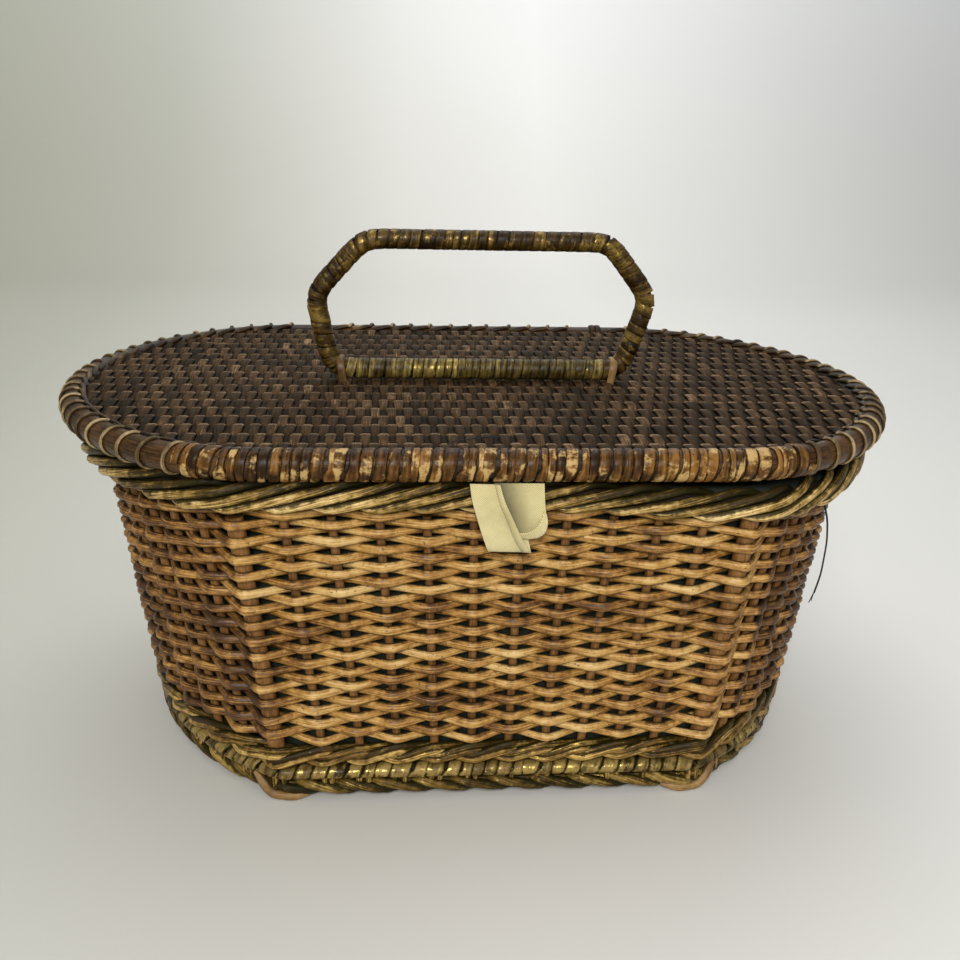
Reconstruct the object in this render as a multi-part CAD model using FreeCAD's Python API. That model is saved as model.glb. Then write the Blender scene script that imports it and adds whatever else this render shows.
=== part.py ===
"""Wicker sewing basket: bowed-end body, hinged woven lid, swinging bail handle and tape tab.

Units are millimetres and +Z is up. The origin is on the floor under the middle of the lid.
Each sub-part is written to parts/NODE.step as one or more closed solids.
"""
import FreeCAD, Part
import math
import os
from collections import namedtuple

Vec = FreeCAD.Vector
UP = Vec(0, 0, 1)

# ---- Lid, over the centreline of its rim rod ----
LID_STRAIGHT = 86.5        # half the straight front, before the ends bow away
LID_HALF_DEPTH = 96.9
LID_HALF_LENGTH = 144.75
LID_CORNER_RADIUS = 60.0
RIM_Z = 118.2
RIM_ROD_RADIUS = 4.5
BINDING_INNER = 4.55       # cane strip lies round the rim rod with a hair of clearance
BINDING_OUTER = 5.25
BINDING_END_GAP = 0.5
LOOP_INNER = 4.6
LOOP_WIDTH = 1.8
LOOP_SPACING = 8.8

# ---- Lid panel: wide slats run left to right, narrow strips are woven front to back ----
PANEL_INSET = 5.6          # from the rim rod's centreline
SLAT_COUNT = 18
SLAT_GAP = 1.3
SLAT_BOTTOM = 119.4
SLAT_THICKNESS = 1.0
STRIP_PITCH = 3.05
STRIP_WIDTH = 2.75
STRIP_THICKNESS = 0.7
WEAVE_CLEARANCE = 0.2
STRIP_END_GAP = 0.1
LID_LINING_BOTTOM = 117.2
LID_LINING_THICKNESS = 0.9

# ---- Body: line through the middles of the wall stakes, at the floor and at WALL_REF_Z ----
WALL_REF_Z = 96.0
FLOOR_CORNER = (67.4, 88.8)
TOP_CORNER = (79.5, 90.5)
FLOOR_HALF_LENGTH = 117.3
TOP_HALF_LENGTH = 131.3
FLOOR_FACE_SPAN = 52.5     # outermost stake of the front face, from the middle
TOP_FACE_SPAN = 65.0
FACE_STAKES = 10
END_STAKES = 15
STAKE_RADIUS = 1.4
POST_RADIUS = 2.8
STAKE_BOTTOM = 12.6
STAKE_TOP = 99.9

# ---- Woven rods of the wall ----
ROD_RADIUS = 1.3
ROW_PITCH = 2.8
ROD_CLEARANCE = 0.25       # where a rod runs flat past a post
PEAK_CLEARANCE = 0.65      # where a rod turns at a single corner over a stake
WALE_RODS = 3
WALE_FIRST_Z = 14.0
RANDING_ROWS = 28

# ---- Base ----
FOOT_HEIGHT = 2.2
FOOT_RADIUS = 4.0
FOOT_EDGE_RADIUS = 0.8
FOOT_BORDER_CORNER = (66.8, 89.6)
FOOT_BORDER_HALF_LENGTH = 118.2
FOOT_BORDER_Z = 4.5
FOOT_BORDER_RADIUS = 2.0
FOOT_BORDER_BEND = 6.0
HOOP_BOTTOM = 6.9
HOOP_TOP = 11.8
HOOP_OUT = 4.2
HOOP_IN = -4.0
BASE_BOTTOM = 7.8
BASE_GAP = 0.3
PAD_BOTTOM = 12.1
PAD_TOP = 15.7
PAD_GAP = 0.5
PAD_EDGE_RADIUS = 1.2

# ---- Top border and lining ----
BORDER_CORNER = (85.4, 92.9)
BORDER_HALF_LENGTH = 139.8
BORDER_BEND = 12.0
BORDER_WIDTH = 9.2
BORDER_BOTTOM = 100.5
BORDER_TOP = 112.6
LINING_OUT = -6.2
LINING_THICKNESS = 1.0
LINING_TOP = 111.0

# ---- Back hinge: cane loops in which the rim rod turns ----
HINGE_X = 62.0
HINGE_WIDTH = 5.0
HINGE_STRAP_LENGTH = 16.0
HINGE_STRAP_THICKNESS = 0.84
HINGE_STRAP_GAP = 0.25     # between the strap and the border

# ---- Bail handle: a closed six-sided ring that turns on its bottom bar ----
BAIL_Y = -1.3
BAIL_Z = 125.2
BAIL_BOTTOM = 54.1         # half-widths at the bottom bar, at the wide corners and at the grip
BAIL_WIDE = 61.7
BAIL_GRIP = 44.6
BAIL_WIDE_RISE = 27.4
BAIL_GRIP_RISE = 47.5
BAIL_BEND = 6.0
BAIL_CORE_RADIUS = 2.5
BAIL_WRAP_INNER = 2.55
BAIL_WRAP_OUTER = 3.5
WRAP_GAP = 0.6             # between neighbouring stretches of wrapping
HANDLE_LOOP_X = 50.5
HANDLE_LOOP_WIDTH = 3.0
HANDLE_LOOP_INNER = 3.56
HANDLE_LOOP_OUTER = 4.5
HANDLE_LOOP_FOOT = 121.5   # the loops' legs end on the panel

# ---- Tape tab, hanging from the lid in front of the border ----
TAB_LEFT = -9.8
TAB_RIGHT = 13.9
TAB_TOP = 112.2
TAB_BOTTOM = 90.0
TAB_BACK = -97.8
TAB_THICKNESS = 2.2
TAB_CORNER = 4.0

Outline = namedtuple("Outline", "half_depth end_centre end_radius corner_radius")


def outline_through(corner, half_length, corner_radius=0.0):
    """Outline with a flat front and back through the corner and an arc for each bowed end."""
    rise = half_length - corner[0]
    end_radius = (rise ** 2 + corner[1] ** 2) / (2 * rise)
    return Outline(corner[1], half_length - end_radius, end_radius, corner_radius)


def grow(outline, distance):
    """The same outline moved outwards everywhere by distance."""
    corner_radius = outline.corner_radius
    if corner_radius:
        corner_radius = max(corner_radius + distance, 0.5)
    return Outline(outline.half_depth + distance, outline.end_centre,
                   outline.end_radius + distance, corner_radius)


def outline_wire(outline, z):
    """Closed wire of an outline at height z: four lines or arcs, plus a fillet at each corner."""
    depth, centre, end, fillet = outline
    fillet_x = centre + math.sqrt((end - fillet) ** 2 - (depth - fillet) ** 2)
    angle = math.atan2(depth - fillet, fillet_x - centre)
    arc_start = (centre + end * math.cos(angle), end * math.sin(angle))
    middle = (math.pi / 2 + angle) / 2
    fillet_middle = (fillet_x + fillet * math.cos(middle), depth - fillet + fillet * math.sin(middle))

    def at(x, y):
        return Vec(x, y, z)

    edges = []
    for sx, sy in ((1, -1), (1, 1), (-1, 1), (-1, -1)):
        straight_end = at(sx * fillet_x, sy * depth)
        if sx * sy < 0:
            edges.append(Part.makeLine(at(-sx * fillet_x, sy * depth), straight_end))
        corner = [straight_end, at(sx * fillet_middle[0], sy * fillet_middle[1]),
                  at(sx * arc_start[0], sy * arc_start[1])]
        if sx * sy > 0:
            corner.reverse()
            edges.append(Part.Arc(at(sx * arc_start[0], -sy * arc_start[1]),
                                  at(sx * (centre + end), 0), corner[0]).toShape())
        if fillet:
            edges.append(Part.Arc(*corner).toShape())
    return Part.Wire(Part.__sortEdges__(edges))


def plate(outline, bottom, top):
    """Flat plate of the outline's shape between two heights."""
    face = Part.Face(outline_wire(outline, bottom))
    return face.extrude(UP * (top - bottom))


def wall_outline(z):
    """Line of the stakes at height z."""
    part = z / WALL_REF_Z
    corner = tuple(a + (b - a) * part for a, b in zip(FLOOR_CORNER, TOP_CORNER))
    return outline_through(corner, FLOOR_HALF_LENGTH + (TOP_HALF_LENGTH - FLOOR_HALF_LENGTH) * part)


def solid_of(shape):
    """One clean closed solid from a shape that holds one."""
    solid = shape.Solids[0] if shape.Solids else Part.makeSolid(shape.Shells[0])
    if solid.Volume < 0:
        solid.reverse()
    return solid


def swept(path, profiles, transition=0):
    """Solid swept along a wire by a closed profile wire."""
    return solid_of(path.makePipeShell(profiles, True, False, transition))


def circle_at(point, direction, radius):
    """Round profile wire about a point, square to a direction."""
    return Part.Wire(Part.makeCircle(radius, point, direction))


def hexagon_at(point, direction, radius):
    """Six-sided profile wire about a point on a level path, with corners straight up and down."""
    across = direction.cross(UP).normalize()
    turns = [math.radians(90 + 60 * i) for i in range(6)]
    corners = [point + across * (radius * math.cos(a)) + UP * (radius * math.sin(a)) for a in turns]
    return Part.makePolygon(corners + corners[:1])


def ring_rod(outline, z, radius):
    """Round rod that follows a whole outline."""
    path = outline_wire(outline, z)
    edge = path.OrderedEdges[0]
    start = edge.valueAt(edge.FirstParameter)
    return swept(path, [circle_at(start, edge.tangentAt(edge.FirstParameter), radius)])


def rod_between(start, end, radius):
    """Straight round rod from one point to another."""
    along = end - start
    return Part.makeCylinder(radius, along.Length, start, along)


def tube_between(start, end, inner, outer):
    """Straight tube from one point to another."""
    return rod_between(start, end, outer).cut(rod_between(start, end, inner))


# ---- Stakes and posts ----
Warp = namedtuple("Warp", "kind bottom top")


def end_point(outline, step):
    """Point on the right-hand end arc, step 0 at the front corner to END_STAKES + 1 at the back."""
    corner = math.asin(outline.half_depth / outline.end_radius)
    angle = corner * (2 * step / (END_STAKES + 1) - 1)
    return (outline.end_centre + outline.end_radius * math.cos(angle), outline.end_radius * math.sin(angle))


def right_half_warps():
    """Warps from the front face's middle, round the right-hand end, to the back face's middle."""
    outlines = (wall_outline(0), wall_outline(WALL_REF_Z))
    spans = (FLOOR_FACE_SPAN, TOP_FACE_SPAN)
    warps = []
    for side, order in ((-1, 1), (1, -1)):
        face = []
        for i in range(FACE_STAKES // 2):
            part = (2 * i + 1) / (FACE_STAKES - 1)
            points = [Vec(span * part, side * o.half_depth, z)
                      for span, o, z in zip(spans, outlines, (0, WALL_REF_Z))]
            face.append(Warp("face", *points))
        warps.append(face[::order])
    end = []
    for step in range(END_STAKES + 2):
        points = [Vec(*end_point(o, step), z) for o, z in zip(outlines, (0, WALL_REF_Z))]
        kind = "post" if step in (0, END_STAKES + 1) else "end"
        end.append(Warp(kind, *points))
    return warps[0] + end + warps[1]


def all_warps():
    """Every stake and post, in order round the body."""
    right = right_half_warps()
    turn = FreeCAD.Rotation(UP, 180)
    left = [Warp(w.kind, turn.multVec(w.bottom), turn.multVec(w.top)) for w in right]
    return right + left


def warp_at(warp, z):
    """Middle of a warp at height z."""
    return warp.bottom + (warp.top - warp.bottom) * (z / WALL_REF_Z)


def upright(warp):
    """One stake or post as a straight rod."""
    radius = POST_RADIUS if warp.kind == "post" else STAKE_RADIUS
    return rod_between(warp_at(warp, STAKE_BOTTOM), warp_at(warp, STAKE_TOP), radius)


def uprights(kind):
    return [upright(w) for w in all_warps() if w.kind == kind]


def outward(points, i):
    """Outward direction of a closed run of points at point i."""
    before = points[i - 1]
    after = points[(i + 1) % len(points)]
    to_before = (points[i] - before).normalize()
    to_after = (after - points[i]).normalize()
    along = (to_before + to_after).normalize()
    return Vec(along.y, -along.x, 0), along


def woven_rod(z, is_outside):
    """Rod that goes round the wall at height z, outside each warp where is_outside(i) is true."""
    warps = all_warps()
    points = [warp_at(w, z) for w in warps]
    corners = []
    for i, warp in enumerate(warps):
        out, along = outward(points, i)
        radius = POST_RADIUS if warp.kind == "post" else STAKE_RADIUS
        near_post = "post" in (warps[i - 1].kind, warp.kind, warps[(i + 1) % len(warps)].kind)
        clearance = ROD_CLEARANCE if near_post else PEAK_CLEARANCE
        reach = (radius + ROD_RADIUS + clearance) * (1 if is_outside(i) else -1)
        for shift in (-radius, radius) if near_post else (0,):
            corners.append(points[i] + along * shift + out * reach)
    start = (corners[-1] + corners[0]) * 0.5
    path = Part.makePolygon([start] + corners + [start])
    profile = hexagon_at(start, corners[0] - corners[-1], ROD_RADIUS)
    return swept(path, [profile], 1)


def randing_rods():
    first = WALE_FIRST_Z + WALE_RODS * ROW_PITCH
    return [woven_rod(first + row * ROW_PITCH, lambda i, row=row: (i + row) % 2 == 0)
            for row in range(RANDING_ROWS)]


def bottom_wale():
    return [woven_rod(WALE_FIRST_Z + row * ROW_PITCH, lambda i, row=row: (i + row) % WALE_RODS != 0)
            for row in range(WALE_RODS)]


# ---- Base ----
def base_hoop():
    line = wall_outline(HOOP_BOTTOM)
    outer = plate(grow(line, HOOP_OUT), HOOP_BOTTOM, HOOP_TOP)
    inner = plate(grow(line, HOOP_IN), HOOP_BOTTOM, HOOP_TOP)
    return [solid_of(outer.cut(inner))]


def base_panel():
    line = wall_outline(HOOP_BOTTOM)
    return [plate(grow(line, HOOP_IN - BASE_GAP), BASE_BOTTOM, HOOP_TOP)]


def base_pad():
    line = wall_outline(PAD_BOTTOM)
    pad = plate(grow(line, LINING_OUT - LINING_THICKNESS - PAD_GAP), PAD_BOTTOM, PAD_TOP)
    top_edges = [e for e in pad.Edges if e.BoundBox.ZMin > PAD_TOP - 0.01]
    return [solid_of(pad.makeFillet(PAD_EDGE_RADIUS, top_edges))]


def foot_border():
    line = outline_through(FOOT_BORDER_CORNER, FOOT_BORDER_HALF_LENGTH, FOOT_BORDER_BEND)
    return [ring_rod(line, FOOT_BORDER_Z, FOOT_BORDER_RADIUS)]


def corner_feet():
    feet = []
    for sx in (-1, 1):
        for sy in (-1, 1):
            place = Vec(sx * FOOT_BORDER_CORNER[0], sy * FOOT_BORDER_CORNER[1], 0)
            foot = Part.makeCylinder(FOOT_RADIUS, FOOT_HEIGHT, place)
            feet.append(solid_of(foot.makeFillet(FOOT_EDGE_RADIUS, foot.Edges)))
    return feet


# ---- Top border and lining ----
def top_border():
    line = outline_through(BORDER_CORNER, BORDER_HALF_LENGTH, BORDER_BEND)
    middle_z = (BORDER_BOTTOM + BORDER_TOP) / 2
    path = outline_wire(line, middle_z)
    edge = path.OrderedEdges[0]
    start = edge.valueAt(edge.FirstParameter)
    half_height = (BORDER_TOP - BORDER_BOTTOM) / 2
    ellipse = Part.Ellipse(start + Vec(0, 0, half_height), start + Vec(0, BORDER_WIDTH / 2, 0), start)
    return [swept(path, [Part.Wire(ellipse.toShape())])]


def side_lining():
    heights = (PAD_BOTTOM, LINING_TOP)
    outer = [outline_wire(grow(wall_outline(z), LINING_OUT), z) for z in heights]
    inner = [outline_wire(grow(wall_outline(z), LINING_OUT - LINING_THICKNESS), z) for z in heights]
    shell = Part.makeLoft(outer, True, True).cut(Part.makeLoft(inner, True, True))
    return [solid_of(shell)]


def hinge_loops():
    """Ring round the rim rod, with a strap down the outside of the border."""
    loops = []
    strap_front = BORDER_CORNER[1] + BORDER_WIDTH / 2 + HINGE_STRAP_GAP
    for side in (-1, 1):
        left = side * HINGE_X - HINGE_WIDTH / 2
        start = Vec(left, LID_HALF_DEPTH, RIM_Z)
        along = Vec(HINGE_WIDTH, 0, 0)
        hole = rod_between(start, start + along, BINDING_INNER)
        ring = rod_between(start, start + along, BINDING_OUTER)
        strap_bottom = RIM_Z - HINGE_STRAP_LENGTH
        strap = Part.makeBox(HINGE_WIDTH, HINGE_STRAP_THICKNESS, HINGE_STRAP_LENGTH,
                             Vec(left, strap_front, strap_bottom))
        loops.append(solid_of(ring.fuse(strap).cut(hole)))
    return loops


# ---- Lid ----
def lid_outline():
    corner = (LID_STRAIGHT, LID_HALF_DEPTH)
    return outline_through(corner, LID_HALF_LENGTH, LID_CORNER_RADIUS)


def lid_rim():
    return [ring_rod(lid_outline(), RIM_Z, RIM_ROD_RADIUS)]


def rim_binding():
    """Close wrapping of the rim's straight front, as one sleeve."""
    half = rim_straight_half() - BINDING_END_GAP
    start = Vec(-half, -LID_HALF_DEPTH, RIM_Z)
    end = Vec(half, -LID_HALF_DEPTH, RIM_Z)
    return [solid_of(tube_between(start, end, BINDING_INNER, BINDING_OUTER))]


def rim_straight_half():
    """Half the length of the rim's straight front, up to the start of its rounded corner."""
    depth, centre, end, fillet = lid_outline()
    return centre + math.sqrt((end - fillet) ** 2 - (depth - fillet) ** 2)


def rim_loops():
    """Spaced cane loops round the rim's ends and back, leaving room for the hinge loops."""
    path = outline_wire(lid_outline(), RIM_Z)
    count = int(path.Length / LOOP_SPACING)
    points = path.discretize(Number=count + 1)[:-1]
    front_half = rim_straight_half() + LOOP_WIDTH
    loops = []
    for i, point in enumerate(points):
        on_front = point.y < 0 and abs(point.x) < front_half
        on_hinge = point.y > 0 and abs(abs(point.x) - HINGE_X) < HINGE_WIDTH / 2 + LOOP_WIDTH
        if on_front or on_hinge:
            continue
        along = (points[(i + 1) % count] - points[i - 1]).normalize() * (LOOP_WIDTH / 2)
        ring = tube_between(point - along, point + along, LOOP_INNER, BINDING_OUTER)
        loops.append(solid_of(ring))
    return loops


def panel_outline():
    return grow(lid_outline(), -PANEL_INSET)


def lid_slats():
    panel = panel_outline()
    pitch = 2 * panel.half_depth / SLAT_COUNT
    sheet = plate(panel, SLAT_BOTTOM, SLAT_BOTTOM + SLAT_THICKNESS)
    slats = []
    for row in range(SLAT_COUNT):
        front = -panel.half_depth + row * pitch + SLAT_GAP / 2
        box = Part.makeBox(2 * LID_HALF_LENGTH, pitch - SLAT_GAP, SLAT_THICKNESS,
                           Vec(-LID_HALF_LENGTH, front, SLAT_BOTTOM))
        slats.append(solid_of(sheet.common(box)))
    return slats


def panel_half_depth_at(x):
    """Half the depth of the lid panel at distance x from the middle."""
    depth, centre, end, fillet = panel_outline()
    fillet_x = centre + math.sqrt((end - fillet) ** 2 - (depth - fillet) ** 2)
    if x <= fillet_x:
        return depth
    on_fillet = math.sqrt(max(fillet ** 2 - (x - fillet_x) ** 2, 0)) + depth - fillet
    on_end = math.sqrt(max(end ** 2 - (x - centre) ** 2, 0))
    angle = math.atan2(depth - fillet, fillet_x - centre)
    return on_fillet if x < centre + end * math.cos(angle) else on_end


def strip_profile(half_depth, starts_over):
    """Centre heights of a strip as (y, z) corners, stepping over and under the slats."""
    panel = panel_outline()
    pitch = 2 * panel.half_depth / SLAT_COUNT
    over = SLAT_BOTTOM + SLAT_THICKNESS + WEAVE_CLEARANCE + STRIP_THICKNESS / 2
    under = SLAT_BOTTOM - WEAVE_CLEARANCE - STRIP_THICKNESS / 2
    corners = []
    for row in range(SLAT_COUNT):
        front = max(-panel.half_depth + row * pitch, -half_depth)
        back = min(-panel.half_depth + (row + 1) * pitch, half_depth)
        if back - front < SLAT_GAP:
            continue
        z = over if (row % 2 == 0) == starts_over else under
        corners += [(front, z), (back, z)]
    return corners


def lid_strip(x, starts_over):
    """One narrow strip, woven front to back."""
    half_depth = panel_half_depth_at(abs(x) + STRIP_WIDTH / 2) - STRIP_END_GAP
    corners = strip_profile(half_depth, starts_over)
    half = STRIP_THICKNESS / 2
    upper = []
    lower = []
    for i, (y, z) in enumerate(corners):
        before, after = ((i, i + 1) if i % 2 == 1 else (i - 1, i))
        at_end = before < 0 or after == len(corners)
        rise = 0 if at_end else corners[after][1] - corners[before][1]
        step = math.copysign(half, rise) if rise else 0
        upper.append(Vec(x - STRIP_WIDTH / 2, y - step, z + half))
        lower.append(Vec(x - STRIP_WIDTH / 2, y + step, z - half))
    outline = Part.makePolygon(upper + lower[::-1] + [upper[0]])
    return Part.Face(outline).extrude(Vec(STRIP_WIDTH, 0, 0))


def lid_strips():
    panel = panel_outline()
    reach = panel.end_centre + panel.end_radius - STRIP_WIDTH / 2 - WEAVE_CLEARANCE
    each_side = int(reach / STRIP_PITCH)
    return [lid_strip(i * STRIP_PITCH, i % 2 == 0) for i in range(-each_side, each_side + 1)]


def lid_lining():
    return [plate(panel_outline(), LID_LINING_BOTTOM, LID_LINING_BOTTOM + LID_LINING_THICKNESS)]


def handle_loops():
    """Cane loop over the bail's bottom bar, its legs standing on the lid panel."""
    loops = []
    for side in (-1, 1):
        left = side * HANDLE_LOOP_X - HANDLE_LOOP_WIDTH / 2
        start = Vec(left, BAIL_Y, BAIL_Z)
        along = Vec(HANDLE_LOOP_WIDTH, 0, 0)
        hole = rod_between(start, start + along, HANDLE_LOOP_INNER)
        ring = rod_between(start, start + along, HANDLE_LOOP_OUTER)
        legs = Part.makeBox(HANDLE_LOOP_WIDTH, 2 * HANDLE_LOOP_OUTER, BAIL_Z - HANDLE_LOOP_FOOT,
                            Vec(left, BAIL_Y - HANDLE_LOOP_OUTER, HANDLE_LOOP_FOOT))
        below = Part.makeBox(HANDLE_LOOP_WIDTH, 4 * HANDLE_LOOP_OUTER, HANDLE_LOOP_OUTER,
                             Vec(left, BAIL_Y - 2 * HANDLE_LOOP_OUTER, HANDLE_LOOP_FOOT - HANDLE_LOOP_OUTER))
        loops.append(solid_of(ring.fuse(legs).cut(hole).cut(below)))
    return loops


# ---- Handle ----
def bail_corner(half_width, rise):
    return Vec(half_width, BAIL_Y, BAIL_Z + rise)


def bail_corners():
    """Six corners of the bail, from the bottom left, anticlockwise seen from the front."""
    right = [bail_corner(BAIL_BOTTOM, 0), bail_corner(BAIL_WIDE, BAIL_WIDE_RISE),
             bail_corner(BAIL_GRIP, BAIL_GRIP_RISE)]
    left = [Vec(-p.x, p.y, p.z) for p in reversed(right)]
    return [left[-1]] + right + left[:-1]


def rounded_path(corners, closed):
    """Wire through corners, each bent to BAIL_BEND."""
    count = len(corners)
    edges = []
    last = None
    first = None
    for i, corner in enumerate(corners):
        if not closed and i in (0, count - 1):
            enter = leave = corner
        else:
            back = (corners[i - 1] - corner).normalize()
            forth = (corners[(i + 1) % count] - corner).normalize()
            half = back.getAngle(forth) / 2
            cut = BAIL_BEND / math.tan(half)
            enter = corner + back * cut
            leave = corner + forth * cut
            inwards = (back + forth).normalize()
            middle = corner + inwards * (BAIL_BEND / math.sin(half) - BAIL_BEND)
        if last is not None:
            edges.append(Part.makeLine(last, enter))
        if enter != leave:
            edges.append(Part.Arc(enter, middle, leave).toShape())
        first = first or enter
        last = leave
    if closed:
        edges.append(Part.makeLine(last, first))
    return Part.Wire(edges)


def handle_core():
    path = rounded_path(bail_corners(), closed=True)
    edge = path.OrderedEdges[-1]
    start = edge.valueAt(edge.FirstParameter)
    direction = edge.tangentAt(edge.FirstParameter)
    wire = Part.Wire([edge] + path.OrderedEdges[:-1])
    return [swept(wire, [circle_at(start, direction, BAIL_CORE_RADIUS)])]


def wrap_along(corners):
    """Sleeve of wrapped cane round the core, along an open run of corners."""
    path = rounded_path(corners, closed=False)
    direction = corners[1] - corners[0]
    outer = swept(path, [circle_at(corners[0], direction, BAIL_WRAP_OUTER)])
    inner = swept(path, [circle_at(corners[0], direction, BAIL_WRAP_INNER)])
    return solid_of(outer.cut(inner))


def short_of(start, end, gap):
    """Point a little before end, coming from start."""
    return end - (end - start).normalize() * gap


def grip_wrap():
    corners = bail_corners()
    middle = [(corners[2] + corners[3]) * 0.5, (corners[4] + corners[5]) * 0.5]
    return [wrap_along([middle[0], corners[3], corners[4], middle[1]])]


def side_wraps():
    corners = bail_corners()
    wraps = []
    for bottom, wide, top in ((corners[1], corners[2], corners[3]), (corners[0], corners[5], corners[4])):
        start = short_of(wide, bottom, BAIL_BEND + WRAP_GAP)
        end = short_of(wide, (wide + top) * 0.5, WRAP_GAP)
        wraps.append(wrap_along([start, wide, end]))
    return wraps


def bar_wrap():
    half = BAIL_BOTTOM - BAIL_BEND
    start = Vec(-half, BAIL_Y, BAIL_Z)
    end = Vec(half, BAIL_Y, BAIL_Z)
    return [solid_of(tube_between(start, end, BAIL_WRAP_INNER, BAIL_WRAP_OUTER))]


# ---- Tab ----
def tape_loop():
    """Folded tape, with rounded bottom corners and a rolled top on which it swings."""
    roll_radius = TAB_THICKNESS / 2
    roll_z = TAB_TOP - roll_radius
    tape = Part.makeBox(TAB_RIGHT - TAB_LEFT, TAB_THICKNESS, roll_z - TAB_BOTTOM,
                        Vec(TAB_LEFT, TAB_BACK - TAB_THICKNESS, TAB_BOTTOM))
    bottom_corners = [e for e in tape.Edges
                      if e.BoundBox.YLength > TAB_THICKNESS / 2 and e.BoundBox.ZMax < TAB_BOTTOM + 0.01]
    roll_start = Vec(TAB_LEFT, TAB_BACK - roll_radius, roll_z)
    roll = rod_between(roll_start, roll_start + Vec(TAB_RIGHT - TAB_LEFT, 0, 0), roll_radius)
    return [solid_of(tape.makeFillet(TAB_CORNER, bottom_corners).fuse(roll))]


NODES = {
    "base_panel": base_panel,
    "base_pad": base_pad,
    "base_hoop": base_hoop,
    "foot_border": foot_border,
    "corner_feet": corner_feet,
    "corner_posts": lambda: uprights("post"),
    "face_stakes": lambda: uprights("face"),
    "end_stakes": lambda: uprights("end"),
    "bottom_wale": bottom_wale,
    "randing_rods": randing_rods,
    "top_border": top_border,
    "side_lining": side_lining,
    "hinge_loops": hinge_loops,
    "lid_rim": lid_rim,
    "rim_binding": rim_binding,
    "rim_loops": rim_loops,
    "lid_slats": lid_slats,
    "lid_strips": lid_strips,
    "lid_lining": lid_lining,
    "handle_loops": handle_loops,
    "handle_core": handle_core,
    "grip_wrap": grip_wrap,
    "side_wraps": side_wraps,
    "bar_wrap": bar_wrap,
    "tape_loop": tape_loop,
}

os.makedirs("parts", exist_ok=True)
for name, build in NODES.items():
    solids = build()
    shape = solids[0] if len(solids) == 1 else Part.makeCompound(solids)
    shape.exportStep("parts/%s.step" % name)
    state = "valid" if shape.isValid() else "INVALID"
    print(name, len(shape.Solids), state, round(shape.Volume / 1000, 2), "cm3")
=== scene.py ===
import math

import bpy
import numpy as np
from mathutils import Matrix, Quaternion, Vector


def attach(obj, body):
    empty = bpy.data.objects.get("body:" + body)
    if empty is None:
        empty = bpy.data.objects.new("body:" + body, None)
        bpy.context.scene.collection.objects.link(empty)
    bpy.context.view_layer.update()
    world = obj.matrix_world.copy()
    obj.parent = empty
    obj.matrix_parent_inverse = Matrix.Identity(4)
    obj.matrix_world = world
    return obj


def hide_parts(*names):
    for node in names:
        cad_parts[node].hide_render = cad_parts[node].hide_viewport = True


# Looks of the wicker sewing basket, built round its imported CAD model.
# Lengths are in millimetres until a mesh is made; +Z is up and the front faces -Y.

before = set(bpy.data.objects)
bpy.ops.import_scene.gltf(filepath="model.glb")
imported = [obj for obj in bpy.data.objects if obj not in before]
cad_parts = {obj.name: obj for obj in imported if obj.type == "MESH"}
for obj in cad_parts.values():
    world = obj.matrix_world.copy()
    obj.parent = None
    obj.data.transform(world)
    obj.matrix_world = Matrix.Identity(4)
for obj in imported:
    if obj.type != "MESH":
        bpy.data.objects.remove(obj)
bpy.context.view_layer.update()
MM = 0.001
UP = np.array([0.0, 0.0, 1.0])
FRONT = np.array([0.0, -1.0, 0.0])
random = np.random.default_rng(11)

# ---- Camera, in the basket's own frame ----
CAMERA_PLACE = (-34.8, -413.9, 220.6)
CAMERA_YAW = 5.12
CAMERA_DIP = 18.60
CAMERA_ROLL = 1.61
CAMERA_LENS = 42.26

# ---- Canes ----
ROD_RADIUS = 1.5
ROD_KINK = 1.14            # how much wider a rod is where it bends over a stake
RANDING_ROWS = 28
ROWS_UNDER_BORDER = 1      # one more row, mostly hidden by the border
WALE_ROD_RADIUS = 1.2
WALE_RISE = 1.8
LID_STRIP_PITCH = 2.7
LID_STRIP_WIDTH = 3.65
LID_ROWS = 18
RIM_LOOP_SPACING = 8.8
HANDLE_LEAN = 0.055        # to the right for each millimetre of height
LOOP_END_GAP = 3.0         # from the close binding to the first loop
BINDING_PAST_CORNER = 27.0 # how far the close binding goes on past the CAD binding
BORDER_STRAND_RADIUS = 1.5
FOOT_STRAND_RADIUS = 1.7
BORDER_WIDTH = 9.2
BORDER_SAG = 3.0           # at the right of the front, where the border has sunk
HANDLE_ROUNDING = 22.0     # length over which the bail's corners are rounded
STAKE_RADIUS = 1.4
POST_RADIUS = 2.8
ROD_WANDER_OUT = 0.12      # how unevenly rods pass the stakes, outwards and in height
ROD_WANDER_UP = 0.26
SHADED_RIGHT_FROM = 70       # painted shade: the wall is darker from here to the right
HOOP_PITCH = 4.9           # pitches are the widths of a winding's turns
HOOP_RADII = (2.6, 2.05)
RIM_PITCH = 3.2
BAR_PITCH = 2.7
GRIP_PITCH = 3.9
BORDER_SPAN = 60.0         # how far round the basket a border's strand travels
FOOT_SPAN = 28.0
HOOK_RADIUS = 1.7
HOOK_REACH = 10.5          # to each side of a corner
HINGE_LOOP_RADIUS = 5.0
STRAP_WIDTH = 2.3
STRAP_LENGTH = 12.4
BASE_STRIP_PITCH = 6.0
BASE_STRIP_WIDTH = 5.6
BASE_ROWS = 16
LINING_COLUMNS = 420
LINING_FOLDS = 70
LINING_IN_BORDER = 3.4     # from the border's inner side to the lining's upper edge
UV_SHIFT = 500             # each cane starts somewhere else in its grain, up to this far on
HINGE_ROOM = 6.0           # no rim loop is nearer than this to a hinge loop
PAD_VOXEL = 2.6
TACK_SPACING = 30.0
TACK_REACH = 5.0
TAPE_STEPS = 8             # of the tape, between two of its sections
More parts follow.
